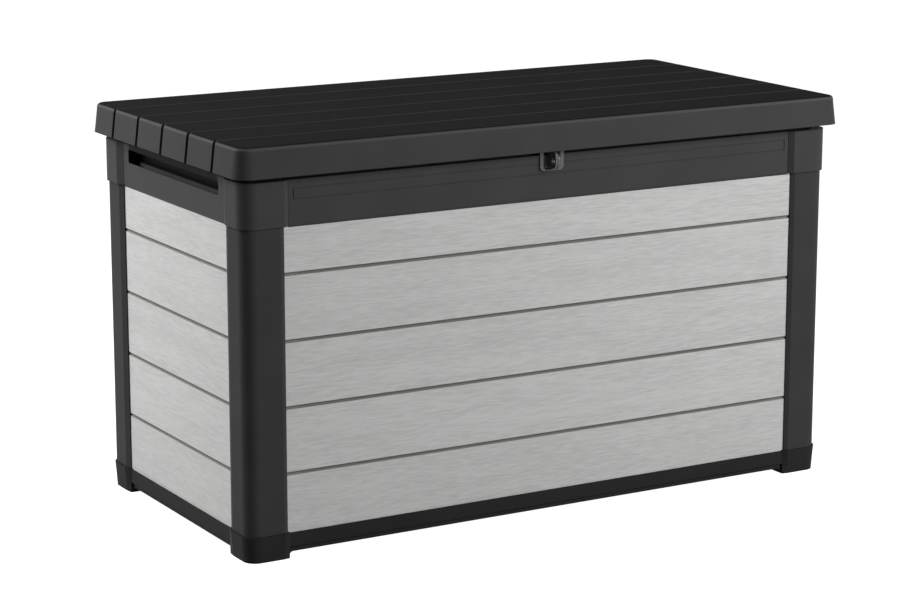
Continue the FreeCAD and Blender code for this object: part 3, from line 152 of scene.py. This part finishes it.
class BoxFinish(bpy.types.PropertyGroup):
    """Colours and grain of the box's resin and metal."""

    plank_colour: bpy.props.FloatVectorProperty(
        name="Plank Colour", description="Pale resin of the planks",
        subtype="COLOR", size=3, min=0.0, max=1.0, default=(0.530, 0.530, 0.528))
    plank_dark: bpy.props.FloatVectorProperty(
        name="Plank Grain Colour", description="Darker streaks of the plank grain",
        subtype="COLOR", size=3, min=0.0, max=1.0, default=(0.430, 0.430, 0.427))
    plank_warm: bpy.props.FloatVectorProperty(
        name="Plank Warm Colour", description="Slightly yellow flecks of the plank grain",
        subtype="COLOR", size=3, min=0.0, max=1.0, default=(0.525, 0.521, 0.506))
    grain_length: bpy.props.FloatProperty(
        name="Grain Length", description="Usual length of one streak of the grain",
        unit="LENGTH", default=0.040)
    grain_height: bpy.props.FloatProperty(
        name="Grain Height", description="Usual height of one streak of the grain",
        unit="LENGTH", default=0.0036)
    # The two groove colours are painted shade inside the grooves between planks; the paler one is painted
    # light on their lower edge
    groove_shade_colour: bpy.props.FloatVectorProperty(
        name="Groove Colour", description="Resin inside the grooves between planks",
        subtype="COLOR", size=3, min=0.0, max=1.0, default=(0.100, 0.100, 0.086))
    groove_painted_light: bpy.props.FloatVectorProperty(
        name="Groove Lower Colour", description="Paler lower edge of the grooves between planks",
        subtype="COLOR", size=3, min=0.0, max=1.0, default=(0.200, 0.200, 0.182))
    groove_width: bpy.props.FloatProperty(
        name="Groove Width", description="Width of a groove across the planks",
        unit="LENGTH", default=0.0085)
    top_groove: bpy.props.FloatProperty(
        name="Top Groove", description="Height of the highest groove's middle",
        unit="LENGTH", default=0.5832)
    plank_pitch: bpy.props.FloatProperty(
        name="Plank Pitch", description="Height from one groove to the next",
        unit="LENGTH", default=0.136)
    frame_colour: bpy.props.FloatVectorProperty(
        name="Frame Colour", description="Near black resin of the top rails, caps and hinges",
        subtype="COLOR", size=3, min=0.0, max=1.0, default=(0.0470, 0.0470, 0.0480))
    post_colour: bpy.props.FloatVectorProperty(
        name="Post Colour", description="Near black resin of the corner posts",
        subtype="COLOR", size=3, min=0.0, max=1.0, default=(0.0400, 0.0400, 0.0408))
    base_colour: bpy.props.FloatVectorProperty(
        name="Base Colour", description="Near black resin of the base and its feet",
        subtype="COLOR", size=3, min=0.0, max=1.0, default=(0.0220, 0.0220, 0.0225))
    lock_colour: bpy.props.FloatVectorProperty(
        name="Lock Colour", description="Dark grey resin of the padlock eyes",
        subtype="COLOR", size=3, min=0.0, max=1.0, default=(0.075, 0.075, 0.077))
    lid_colour: bpy.props.FloatVectorProperty(
        name="Lid Colour", description="Near black resin of the lid's skirt",
        subtype="COLOR", size=3, min=0.0, max=1.0, default=(0.0460, 0.0460, 0.0470))
    # The darker slat colour is painted shade on the top of the lid
    slat_painted_shade: bpy.props.FloatVectorProperty(
        name="Slat Colour", description="Darker resin of the grained slats on top of the lid",
        subtype="COLOR", size=3, min=0.0, max=1.0, default=(0.0120, 0.0120, 0.0123))
    # The edge colour is a painted highlight on the lid's rounded edges and on the lines between the slats
    painted_highlight_colour: bpy.props.FloatVectorProperty(
        name="Edge Colour", description="Paler resin of the lid's rounded edges and slat lines",
        subtype="COLOR", size=3, min=0.0, max=1.0, default=(0.0800, 0.0800, 0.0810))
    slat_pitch: bpy.props.FloatProperty(
        name="Slat Pitch", description="Depth from one slat line of the lid to the next",
        unit="LENGTH", default=0.1225)
    slat_line: bpy.props.FloatProperty(
        name="Slat Line", description="Width of a line between two slats",
        unit="LENGTH", default=0.0060)
    # Height where the painted shade on the slats, and the painted highlight on the rounded edge below it,
    # begin
    slat_start: bpy.props.FloatProperty(
        name="Slat Start", description="Height at which the slats' darker surface begins",
        unit="LENGTH", default=0.8425)
    edge_rounding: bpy.props.FloatProperty(
        name="Edge Rounding", description="Radius of the moulded edges",
        unit="LENGTH", default=0.0012)


class BoxStage(bpy.types.PropertyGroup):
    """The camera, the lights and the floor."""

    camera_place: bpy.props.FloatVectorProperty(
        name="Camera Place", description="Where the camera stands",
        subtype="XYZ", unit="LENGTH", size=3, default=(-2.9738, -5.0816, 1.7029))
    camera_yaw: bpy.props.FloatProperty(
        name="Camera Yaw", description="Turn of the camera from +Y",
        subtype="ANGLE", default=-0.5227)
    camera_pitch: bpy.props.FloatProperty(
        name="Camera Pitch", description="Tilt of the camera below the horizon",
        subtype="ANGLE", default=-0.2180)
    camera_lens: bpy.props.FloatProperty(
        name="Lens", description="Focal length on a sensor 36 mm wide",
        unit="CAMERA", default=109.79)
    left_light: bpy.props.FloatProperty(
        name="Left Light", description="Power of the soft box at the left end",
        unit="POWER", default=184.0)
    front_light: bpy.props.FloatProperty(
        name="Front Light", description="Power of the soft box at the front right",
        unit="POWER", default=212.0)
    top_light: bpy.props.FloatProperty(
        name="Top Light", description="Power of the soft box above",
        unit="POWER", default=8.0)
    fill: bpy.props.FloatProperty(
        name="Fill", description="Strength of the even light of the room",
        default=0.03)
    floor_reach: bpy.props.FloatProperty(
        name="Floor Reach", description="Radius of the floor",
        unit="LENGTH", default=60.0)
    backdrop_height: bpy.props.FloatProperty(
        name="Backdrop Height", description="Height of the ring-shaped backdrop",
        unit="LENGTH", default=9.0)


class Signal:
    """An output socket of a material whose value varies over a surface; arithmetic adds Math nodes."""

    def __init__(self, tree, socket):
        self.tree = tree
        self.socket = socket

    def node(self, kind, settings=None, inputs=None, output=0):
        """Adds a node of that kind: its settings first, then the values or links of its sockets."""
        return add_node(self.tree, kind, settings, inputs, output)

    def maths(self, operation, *values):
        """Adds a Math node that works on the values, in their order."""
        return self.node("ShaderNodeMath", {"operation": operation}, dict(enumerate(values)))

    def __add__(self, other):
        return self.maths("ADD", self, other)

    def __radd__(self, other):
        return self.maths("ADD", other, self)

    def __sub__(self, other):
        return self.maths("SUBTRACT", self, other)

    def __rsub__(self, other):
        return self.maths("SUBTRACT", other, self)

    def __mul__(self, other):
        return self.maths("MULTIPLY", self, other)

    def __rmul__(self, other):
        return self.maths("MULTIPLY", other, self)

    def __truediv__(self, other):
        return self.maths("DIVIDE", self, other)

    def __rtruediv__(self, other):
        return self.maths("DIVIDE", other, self)

    def __abs__(self):
        return self.maths("ABSOLUTE", self)

    def whole(self):
        """The whole number at or below the value."""
        return self.maths("FLOOR", self)

    def fraction(self):
        """The value less its whole number."""
        return self.maths("FRACT", self)

    def step(self, low, high):
        """0 below low, 1 above high and smooth between them; low may be the larger one."""
        return self.node("ShaderNodeMapRange", {"interpolation_type": "SMOOTHSTEP"},
                         {"Value": self, "From Min": low, "From Max": high, "To Min": 0.0, "To Max": 1.0})


def add_node(tree, kind, settings=None, inputs=None, output=0):
    """Adds a node to a tree and returns one of its outputs as a Signal."""
    made = tree.nodes.new(kind)
    for name, value in (settings or {}).items():
        setattr(made, name, value)
    for name, value in (inputs or {}).items():
        socket = made.inputs[name]
        if isinstance(value, Signal):
            tree.links.new(value.socket, socket)
        elif socket.type == "RGBA" and len(value) == 3:
            socket.default_value = (*value, 1.0)
        else:
            socket.default_value = value
    return Signal(tree, made.outputs[output])


class Finish:
    """A material in the making: its principled shader and the place on the surface."""

    def __init__(self, name, **constants):
        self.material = bpy.data.materials.new(name)
        self.material.use_nodes = True
        self.tree = self.material.node_tree
        self.shader = self.tree.nodes["Principled BSDF"]
        for socket, value in constants.items():
            self.shader.inputs[socket.replace("_", " ")].default_value = value
        self.place = add_node(self.tree, "ShaderNodeTexCoord", output="Object")
        self.x, self.y, self.z = (
            add_node(self.tree, "ShaderNodeSeparateXYZ", None, {0: self.place}, axis) for axis in range(3))

    def feed(self, socket, signal):
        """Links a varying value to a socket of the shader."""
        self.tree.links.new(signal.socket, self.shader.inputs[socket])

    def join(self, x, y, z):
        """A vector of three values."""
        return add_node(self.tree, "ShaderNodeCombineXYZ", None, {0: x, 1: y, 2: z})

    def noise(self, vector, scale=1.0, detail=2.0, roughness=0.5):
        """Smooth noise between 0 and 1 at a vector."""
        return add_node(self.tree, "ShaderNodeTexNoise", {"noise_dimensions": "3D"},
                        {"Vector": vector, "Scale": scale, "Detail": detail, "Roughness": roughness})

    def blend(self, share, first, second):
        """Colour between two colours: all first at share 0 and all second at share 1."""
        return add_node(self.tree, "ShaderNodeMix", {"data_type": "RGBA"}, {0: share, 6: first, 7: second}, 2)

    def relief(self, height, depth, rounding):
        """Feeds the normal: edges rounded by a small radius under a relief of that depth in metres."""
        edges = add_node(self.tree, "ShaderNodeBevel", {"samples": 4}, {"Radius": rounding})
        self.feed("Normal", add_node(self.tree, "ShaderNodeBump", None,
                                     {"Strength": 1.0, "Distance": depth, "Height": height, "Normal": edges}))


def dress(finish, *names):
    """Puts a finished material on every slot of the named CAD nodes."""
    for name in names:
        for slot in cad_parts[name].material_slots:
            slot.material = finish.material


def nodes_named(*starts):
    """The names of the CAD nodes that begin with one of the starts."""
    return [name for name in sorted(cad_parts) if name.startswith(starts)]


def from_lines(signal, pitch):
    """Signed distance from the nearest of the lines that stand at whole multiples of a pitch."""
    return ((signal / pitch + 0.5).fraction() - 0.5) * pitch


def scaled(colour, times):
    """A colour with each of its three parts multiplied."""
    return tuple(times * part for part in colour)


def plank_finish(look):
    """Pale resin with brushed grain along the planks, which differs from plank to plank, and painted shade in
    the grooves, paler on their lower edges as painted light.
    """
    made = Finish("plank_resin", Specular_IOR_Level=0.35)
    length, height = look.grain_length, look.grain_height
    along = made.x + made.y
    below_top = look.top_groove - made.z
    shift = (below_top / look.plank_pitch).whole() * PLANK_SHIFT
    streak_place = made.join(along / length + shift, made.z / height, shift)
    band_place = made.join(
        along / (BAND_LENGTH * length) + shift, made.z / (BAND_HEIGHT * height), BAND_PLANE)
    fleck_place = made.join(
        along / (FLECK_LENGTH * length) - shift, made.z / (FLECK_HEIGHT * height), FLECK_PLANE)
    streaks = made.noise(streak_place, detail=3.0, roughness=0.62)
    bands = made.noise(band_place, detail=2.0)
    tone = made.noise(made.join(shift, shift * TONE_SHIFT, TONE_PLANE), detail=0.0)
    flecks = made.noise(fleck_place, detail=1.0)
    grain = (streaks * STREAK_SHARE + bands * BAND_SHARE + (tone - 0.5) * TONE_SHARE).step(0.32, 0.64)
    pale = made.blend(flecks.step(0.46, 0.66), tuple(look.plank_colour), tuple(look.plank_warm))
    colour = made.blend(grain, tuple(look.plank_dark), pale)

    # Painted shade in the grooves: darkest in their upper half, and paler in the lower half as painted light
    # on the lit lower wall
    width = look.groove_width
    below_middle = from_lines(below_top, look.plank_pitch)
    groove = abs(below_middle).step(width * 0.52, width * 0.36)
    lower = below_middle.step(width * -0.1, width * 0.3)
    groove_painted_shading = made.blend(lower, tuple(look.groove_shade_colour), tuple(look.groove_painted_light))
    made.feed("Base Color", made.blend(groove, colour, groove_painted_shading))
    made.feed("Roughness", 0.46 + streaks * 0.16)
    made.relief(streaks * 0.8 + bands * 0.2, GRAIN_DEPTH, look.edge_rounding)
    return made


def resin_start(name, level):
    """A new finish of dark resin, with its fine spark texture and its slow clouding."""
    made = Finish(name, Specular_IOR_Level=level)
    spark = made.noise(made.place, scale=SPARK_SCALE, detail=1.0)
    cloud = made.noise(made.place, scale=CLOUD_SCALE, detail=3.0)
    return made, spark, cloud


def resin_end(made, colour, roughness, height, rounding):
    """Feeds a resin's colour, its roughness with the relief's share, and the relief."""
    made.feed("Base Color", colour)
    made.feed("Roughness", roughness + (height - 0.5) * 0.08)
    made.relief(height, RESIN_DEPTH, rounding)
    return made


def resin_finish(name, colour, rounding, roughness, level, painted_slot_shade=False):
    """Dark moulded resin with fine texture and faint clouding; on a side frame, painted shade darkens the
    hand slots and the strip above them up to the lid's edge.
    """
    made, spark, cloud = resin_start(name, level)
    tone = made.blend(cloud.step(0.20, 0.85), tuple(colour), scaled(colour, 1.15))
    if painted_slot_shade:
        # Painted shade: near black in the hand slots and on the strip above them, where the lid's edge shades
        # the side frame
        between_ends = abs(made.y).step(SLOT_HALF + SLOT_EDGE, SLOT_HALF - SLOT_EDGE)
        above_low = made.z.step(SLOT_LOW, SLOT_LOW + SLOT_FADE)
        below_high = made.z.step(SLOT_HIGH + SLOT_FADE, SLOT_HIGH)
        behind_face = abs(made.x).step(SLOT_FACE, SLOT_FACE - SLOT_EDGE)
        tone = made.blend(between_ends * (above_low * below_high) * behind_face, tone, SLOT_PAINTED_SHADE)
    return resin_end(made, tone, roughness + (cloud - 0.5) * 0.05, spark, rounding)


def lid_finish(name, look, roughness, level):
    """Dark resin of the lid: painted shade darkens the grained slats on top, and painted highlights lighten
    the rounded edges and slat lines.
    """
    made, spark, cloud = resin_start(name, level)
    # Painted shade darkens the top of the slats; painted highlights lighten the rounded edge below them and
    # the lines between the slats
    on_top = made.z.step(look.slat_start, look.slat_start + SLAT_BLUR)
    above_skirt = made.z.step(look.slat_start - 3 * SLAT_BLUR, look.slat_start - SLAT_BLUR)
    line = abs(from_lines(made.y, look.slat_pitch)).step(0.5 * look.slat_line, 0.25 * look.slat_line)
    pale = above_skirt * (1.0 - on_top) * 0.8 + line * on_top
    skirt, slats, edge = tuple(look.lid_colour), tuple(look.slat_painted_shade), tuple(look.painted_highlight_colour)
    dark = made.blend(pale, made.blend(on_top, skirt, slats), edge)
    lighter = made.blend(pale, made.blend(on_top, scaled(skirt, 1.15), scaled(slats, 1.25)), edge)
    grain = made.noise(
        made.join(made.x * SLAT_GRAIN_ALONG, made.y * SLAT_GRAIN_ACROSS, made.z * SLAT_GRAIN_ACROSS),
        detail=3.0, roughness=0.6)
    tone = made.blend(cloud.step(0.20, 0.85), dark, lighter)
    rough = roughness + (cloud - 0.5) * 0.05 + on_top * 0.15
    return resin_end(made, tone, rough, spark * 0.35 + grain * 0.65, look.edge_rounding)


def steel_finish(name, colour, roughness):
    """Bright steel with fine turning marks round the x axis and a little unevenness of its plating."""
    made = Finish(name, Metallic=1.0)
    marks = made.noise(
        made.join(made.x * TURNING_ALONG, made.y * TURNING_ACROSS, made.z * TURNING_ACROSS), detail=1.0)
    cloud = made.noise(made.place, scale=PLATING_SCALE, detail=3.0)
    made.feed("Base Color", made.blend(cloud.step(0.3, 0.7), scaled(colour, 0.82), colour))
    made.feed("Roughness", roughness + (cloud - 0.5) * 0.2 + (marks - 0.5) * 0.1)
    made.relief(marks, TURNING_DEPTH, STEEL_ROUNDING)
    return made


def paint_finish(name, colour, roughness):
    """Smooth black coating on steel, with the slight unevenness that a sprayed coat has."""
    made = Finish(name, Coat_Roughness=0.25)
    peel = made.noise(made.place, scale=PEEL_SCALE, detail=2.0)
    cloud = made.noise(made.place, scale=COAT_SCALE, detail=2.0)
    made.feed("Base Color", made.blend(cloud, colour, scaled(colour, 1.5)))
    made.feed("Roughness", roughness + (peel - 0.5) * 0.15)
    made.feed("Coat Weight", 0.2 + cloud * 0.2)
    made.relief(peel, PEEL_DEPTH, PAINT_ROUNDING)
    return made


class STORAGEBOX_OT_planks(bpy.types.Operator):
    """Finish the four plank panels"""

    bl_idname = "storagebox.planks"
    bl_label = "Finish Planks"

    def execute(self, context):
        look = context.scene.box_finish
        dress(plank_finish(look), *PANELS)
        return {"FINISHED"}


class STORAGEBOX_OT_frame(bpy.types.Operator):
    """Finish the posts, rails, side frames and base"""

    bl_idname = "storagebox.frame"
    bl_label = "Finish Frame"

    def execute(self, context):
        look = context.scene.box_finish
        rounding = look.edge_rounding
        rails = resin_finish("frame_resin", look.frame_colour, rounding, 0.46, 0.025)
        # The side frames' resin carries painted shade in the hand slots and on the strip above them
        sides = resin_finish("side_resin", look.frame_colour, rounding, 0.46, 0.025, painted_slot_shade=True)
        posts = resin_finish("post_resin", look.post_colour, rounding, 0.50, 0.015)
        base = resin_finish("base_resin", look.base_colour, rounding, 0.50, 0.015)
        dress(rails, "front_rail", "rear_rail")
        dress(sides, *nodes_named("side_frame"))
        dress(posts, *nodes_named("corner_post"))
        dress(base, "base_tray")
        return {"FINISHED"}


class STORAGEBOX_OT_lid(bpy.types.Operator):
    """Finish the lid moulding and its steel tubes"""

    bl_idname = "storagebox.lid"
    bl_label = "Finish Lid"

    def execute(self, context):
        look = context.scene.box_finish
        dress(lid_finish("lid_resin", look, 0.40, 0.015), "lid_shell")
        dress(steel_finish("galvanised_tube", GALVANISED, 0.42), *nodes_named("lid_tube"))
        return {"FINISHED"}


class STORAGEBOX_OT_lock(bpy.types.Operator):
    """Finish the padlock keeper and the eye on the lid"""

    bl_idname = "storagebox.lock"
    bl_label = "Finish Lock Eyes"

    def execute(self, context):
        look = context.scene.box_finish
        eyes = resin_finish("lock_resin", look.lock_colour, look.edge_rounding * 0.5, 0.40, 0.30)
        dress(eyes, "padlock_keeper", "lid_lock_tab")
        return {"FINISHED"}


class STORAGEBOX_OT_hinges(bpy.types.Operator):
    """Finish the hinge leaves and pins"""

    bl_idname = "storagebox.hinges"
    bl_label = "Finish Hinges"

    def execute(self, context):
        look = context.scene.box_finish
        leaves = resin_finish("hinge_resin", look.frame_colour, look.edge_rounding * 0.5, 0.40, 0.5)
        dress(leaves, *nodes_named("hinge_leaf"))
        dress(steel_finish("plated_steel", PLATED, 0.28), *nodes_named("hinge_pin"))
        return {"FINISHED"}


class STORAGEBOX_OT_screws(bpy.types.Operator):
    """Make the pan-head screws with their cross recesses and threads"""

    bl_idname = "storagebox.screws"
    bl_label = "Make Screws"

    def execute(self, context):
        steel = steel_finish("screw_steel", SCREW_STEEL, 0.30)
        for name, (body, places) in SCREW_GROUPS.items():
            screw_group(name, body, places).data.materials.append(steel.material)
        return {"FINISHED"}


class STORAGEBOX_OT_struts(bpy.types.Operator):
    """Finish the gas struts and their brackets"""

    bl_idname = "storagebox.struts"
    bl_label = "Finish Gas Struts"

    def execute(self, context):
        look = context.scene.box_finish
        dress(paint_finish("strut_paint", STRUT_BLACK, 0.34), *nodes_named("strut_cylinder", "strut_bracket"))
        dress(steel_finish("ground_rod", GROUND_STEEL, 0.16), *nodes_named("strut_rod"))
        fittings = resin_finish("fitting_nylon", look.frame_colour, look.edge_rounding * 0.4, 0.5, 0.45)
        dress(fittings, *nodes_named("strut_gland", "strut_eye"))
        return {"FINISHED"}


def screw_surface(turns=64, head_rings=22, shank_rings=40):
    """Points and quads of a pan-head screw along -z with its seat at z = 0, as rings round its axis.

    At radius r and turn a the head's height is H * (1 - (r / R) ** 4) ** 0.5, lowered by a recess of depth D
    where the smaller of |r cos a| and |r sin a| is under the arms' half width and the larger one is within
    their reach, with sloping walls. At a depth z the shank's radius is S - d * |2 * fract(z / pitch - a) - 1|
    with a in whole turns, and it falls evenly to nothing over the tip.
    """
    turn = np.linspace(0.0, 2.0 * np.pi, turns, endpoint=False)
    share = np.linspace(0.0, 1.0, head_rings)[:, None]
    radius = HEAD_RADIUS * np.sin(0.5 * np.pi * share) * np.ones_like(turn)
    height = HEAD_HEIGHT * np.sqrt(np.clip(1.0 - (radius / HEAD_RADIUS) ** 4, 0.0, 1.0))
    across = np.abs(radius * np.cos(turn))
    along = np.abs(radius * np.sin(turn))
    in_arm = np.clip((RECESS_HALF_WIDTH - np.minimum(across, along)) / RECESS_SLOPE, 0.0, 1.0)
    in_reach = np.clip((RECESS_REACH - np.maximum(across, along)) / RECESS_RUN, 0.0, 1.0)
    height = height - RECESS_DEPTH * in_arm * in_reach
    head = np.stack([radius * np.cos(turn), radius * np.sin(turn), height], axis=2)

    down = np.linspace(0.0, 1.0, shank_rings)[:, None]
    thread = np.abs(2.0 * np.mod(down * SHANK_LENGTH / THREAD_PITCH - turn / (2.0 * np.pi), 1.0) - 1.0)
    taper = np.clip((1.0 - down) / TIP_SHARE, 0.0, 1.0)
    radius = (SHANK_RADIUS - THREAD_DEPTH * thread) * taper
    depth = -down * SHANK_LENGTH * np.ones_like(turn)
    shank = np.stack([radius * np.cos(turn), radius * np.sin(turn), depth], axis=2)

    rings = np.concatenate([head, shank])
    start = np.arange(rings.shape[0] - 1)[:, None] * turns
    here = np.arange(turns)
    after = np.roll(here, -1)
    faces = np.stack([start + here, start + turns + here, start + turns + after, start + after], axis=2)
    return rings.reshape(-1, 3), faces.reshape(-1, 4)


def turned_to(points, towards):
    """The points with their +z turned to a direction that lies along one of the axes."""
    z = np.array(towards, dtype=float)
    x = np.roll(z, 1)
    y = np.cross(z, x)
    return points @ np.stack([x, y, z])


def close_mesh(mesh):
    """Merges the points that lie together at poles and turns the faces outwards."""
    shell = bmesh.new()
    shell.from_mesh(mesh)
    bmesh.ops.remove_doubles(shell, verts=shell.verts, dist=SAME_PLACE)
    bmesh.ops.recalc_face_normals(shell, faces=shell.faces)
    shell.to_mesh(mesh)
    shell.free()


def screw_group(name, body, places):
    """One mesh of like screws at their places, which stands for the plain screws of the CAD node."""
    points, faces = screw_surface()
    every = np.concatenate([turned_to(points, towards) + np.array(place) for place, towards in places])
    quads = np.concatenate([faces + number * len(points) for number in range(len(places))])
    new_name = name + "_detailed"
    mesh = bpy.data.meshes.new(new_name)
    mesh.from_pydata(every.tolist(), [], quads.tolist())
    close_mesh(mesh)
    mesh.shade_smooth()
    group = bpy.data.objects.new(new_name, mesh)
    bpy.context.collection.objects.link(group)
    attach(group, body)
    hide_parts(name)
    return group


def floor_material():
    """Pale floor: it looks white, and it lights the box as a mid grey floor does."""
    material = bpy.data.materials.new("studio_floor")
    material.use_nodes = True
    tree = material.node_tree
    tree.nodes.clear()
    camera, glossy, transmission = (
        add_node(tree, "ShaderNodeLightPath", output=ray)
        for ray in ("Is Camera Ray", "Is Glossy Ray", "Is Transmission Ray"))
    seen = (camera + glossy + transmission).step(0.0, 1.0)
    plain = add_node(tree, "ShaderNodeBsdfDiffuse", None, {"Color": FLOOR_BOUNCE})
    pale = add_node(tree, "ShaderNodeBsdfDiffuse", None, {"Color": FLOOR_SEEN})
    glow = add_node(tree, "ShaderNodeEmission", None, {"Color": WHITE, "Strength": 1.0})
    white = add_node(tree, "ShaderNodeAddShader", None, {0: pale, 1: glow})
    mixed = add_node(tree, "ShaderNodeMixShader", None, {0: seen, 1: plain, 2: white})
    output = tree.nodes.new("ShaderNodeOutputMaterial")
    tree.links.new(mixed.socket, output.inputs["Surface"])
    return material


def round_floor(name, reach, height):
    """Disc of a given reach at z = 0 with an upright ring round it: its rim is reach * (cos a, sin a)."""
    turn = np.linspace(0.0, 2.0 * np.pi, FLOOR_SIDES, endpoint=False)
    rim = np.stack([reach * np.cos(turn), reach * np.sin(turn), np.zeros_like(turn)], axis=1)
    points = np.concatenate([rim, rim + (0.0, 0.0, height)])
    here = np.arange(turn.size)
    after = np.roll(here, -1)
    wall = np.stack([here, here + turn.size, after + turn.size, after], axis=1)
    mesh = bpy.data.meshes.new(name)
    mesh.from_pydata(points.tolist(), [], [here.tolist(), *wall.tolist()])
    return bpy.data.objects.new(name, mesh)


def soft_box(side, power):
    """Area light of that side, turned to the point that it faces."""
    name = side + "_soft_box"
    place, target, width, height = SOFT_BOXES[side]
    lamp = bpy.data.lights.new(name, "AREA")
    lamp.shape = "RECTANGLE"
    lamp.size = width
    lamp.size_y = height
    lamp.energy = power
    light = bpy.data.objects.new(name, lamp)
    bpy.context.collection.objects.link(light)
    across, forward, up = np.subtract(target, place)
    light.location = place
    light.rotation_euler = (math.pi / 2 + math.atan2(up, math.hypot(across, forward)), 0.0,
                            math.atan2(-across, forward))


class STORAGEBOX_OT_stage(bpy.types.Operator):
    """Set up the floor, the lights and the camera"""

    bl_idname = "storagebox.stage"
    bl_label = "Set Up Studio"

    def execute(self, context):
        stage = context.scene.box_stage
        floor = round_floor("studio_floor", stage.floor_reach, stage.backdrop_height)
        context.collection.objects.link(floor)
        floor.data.materials.append(floor_material())

        soft_box("left", stage.left_light)
        soft_box("front", stage.front_light)
        soft_box("top", stage.top_light)

        world = bpy.data.worlds.new("studio_room")
        context.scene.world = world
        world.use_nodes = True
        background = world.node_tree.nodes["Background"]
        background.inputs["Color"].default_value = (*WHITE, 1.0)
        background.inputs["Strength"].default_value = stage.fill

        camera = bpy.data.cameras.new("photo_camera")
        camera.lens = stage.camera_lens
        camera.sensor_width = SENSOR_WIDTH
        viewer = bpy.data.objects.new("photo_camera", camera)
        context.collection.objects.link(viewer)
        viewer.location = stage.camera_place
        viewer.rotation_euler = (math.pi / 2 + stage.camera_pitch, 0.0, stage.camera_yaw)
        context.scene.camera = viewer
        context.scene.view_settings.view_transform = "Standard"
        return {"FINISHED"}


STEPS = (STORAGEBOX_OT_planks, STORAGEBOX_OT_frame, STORAGEBOX_OT_lid, STORAGEBOX_OT_lock,
         STORAGEBOX_OT_hinges, STORAGEBOX_OT_screws, STORAGEBOX_OT_struts, STORAGEBOX_OT_stage)


class STORAGEBOX_PT_panel(bpy.types.Panel):
    """Lists the steps that finish the storage box"""

    bl_idname = "STORAGEBOX_PT_panel"
    bl_label = "Storage Box"
    bl_space_type = "VIEW_3D"
    bl_region_type = "UI"
    bl_category = "Storage Box"

    def draw(self, context):
        for step in STEPS:
            self.layout.operator(step.bl_idname)


CLASSES = (BoxFinish, BoxStage, *STEPS, STORAGEBOX_PT_panel)


def register():
    for each in CLASSES:
        bpy.utils.register_class(each)
    bpy.types.Scene.box_finish = bpy.props.PointerProperty(type=BoxFinish)
    bpy.types.Scene.box_stage = bpy.props.PointerProperty(type=BoxStage)


def unregister():
    del bpy.types.Scene.box_stage
    del bpy.types.Scene.box_finish
    for each in reversed(CLASSES):
        bpy.utils.unregister_class(each)


def main():
    register()
    for step in STEPS:
        group, name = step.bl_idname.split(".")
        getattr(getattr(bpy.ops, group), name)()


if __name__ == "__main__":
    main()
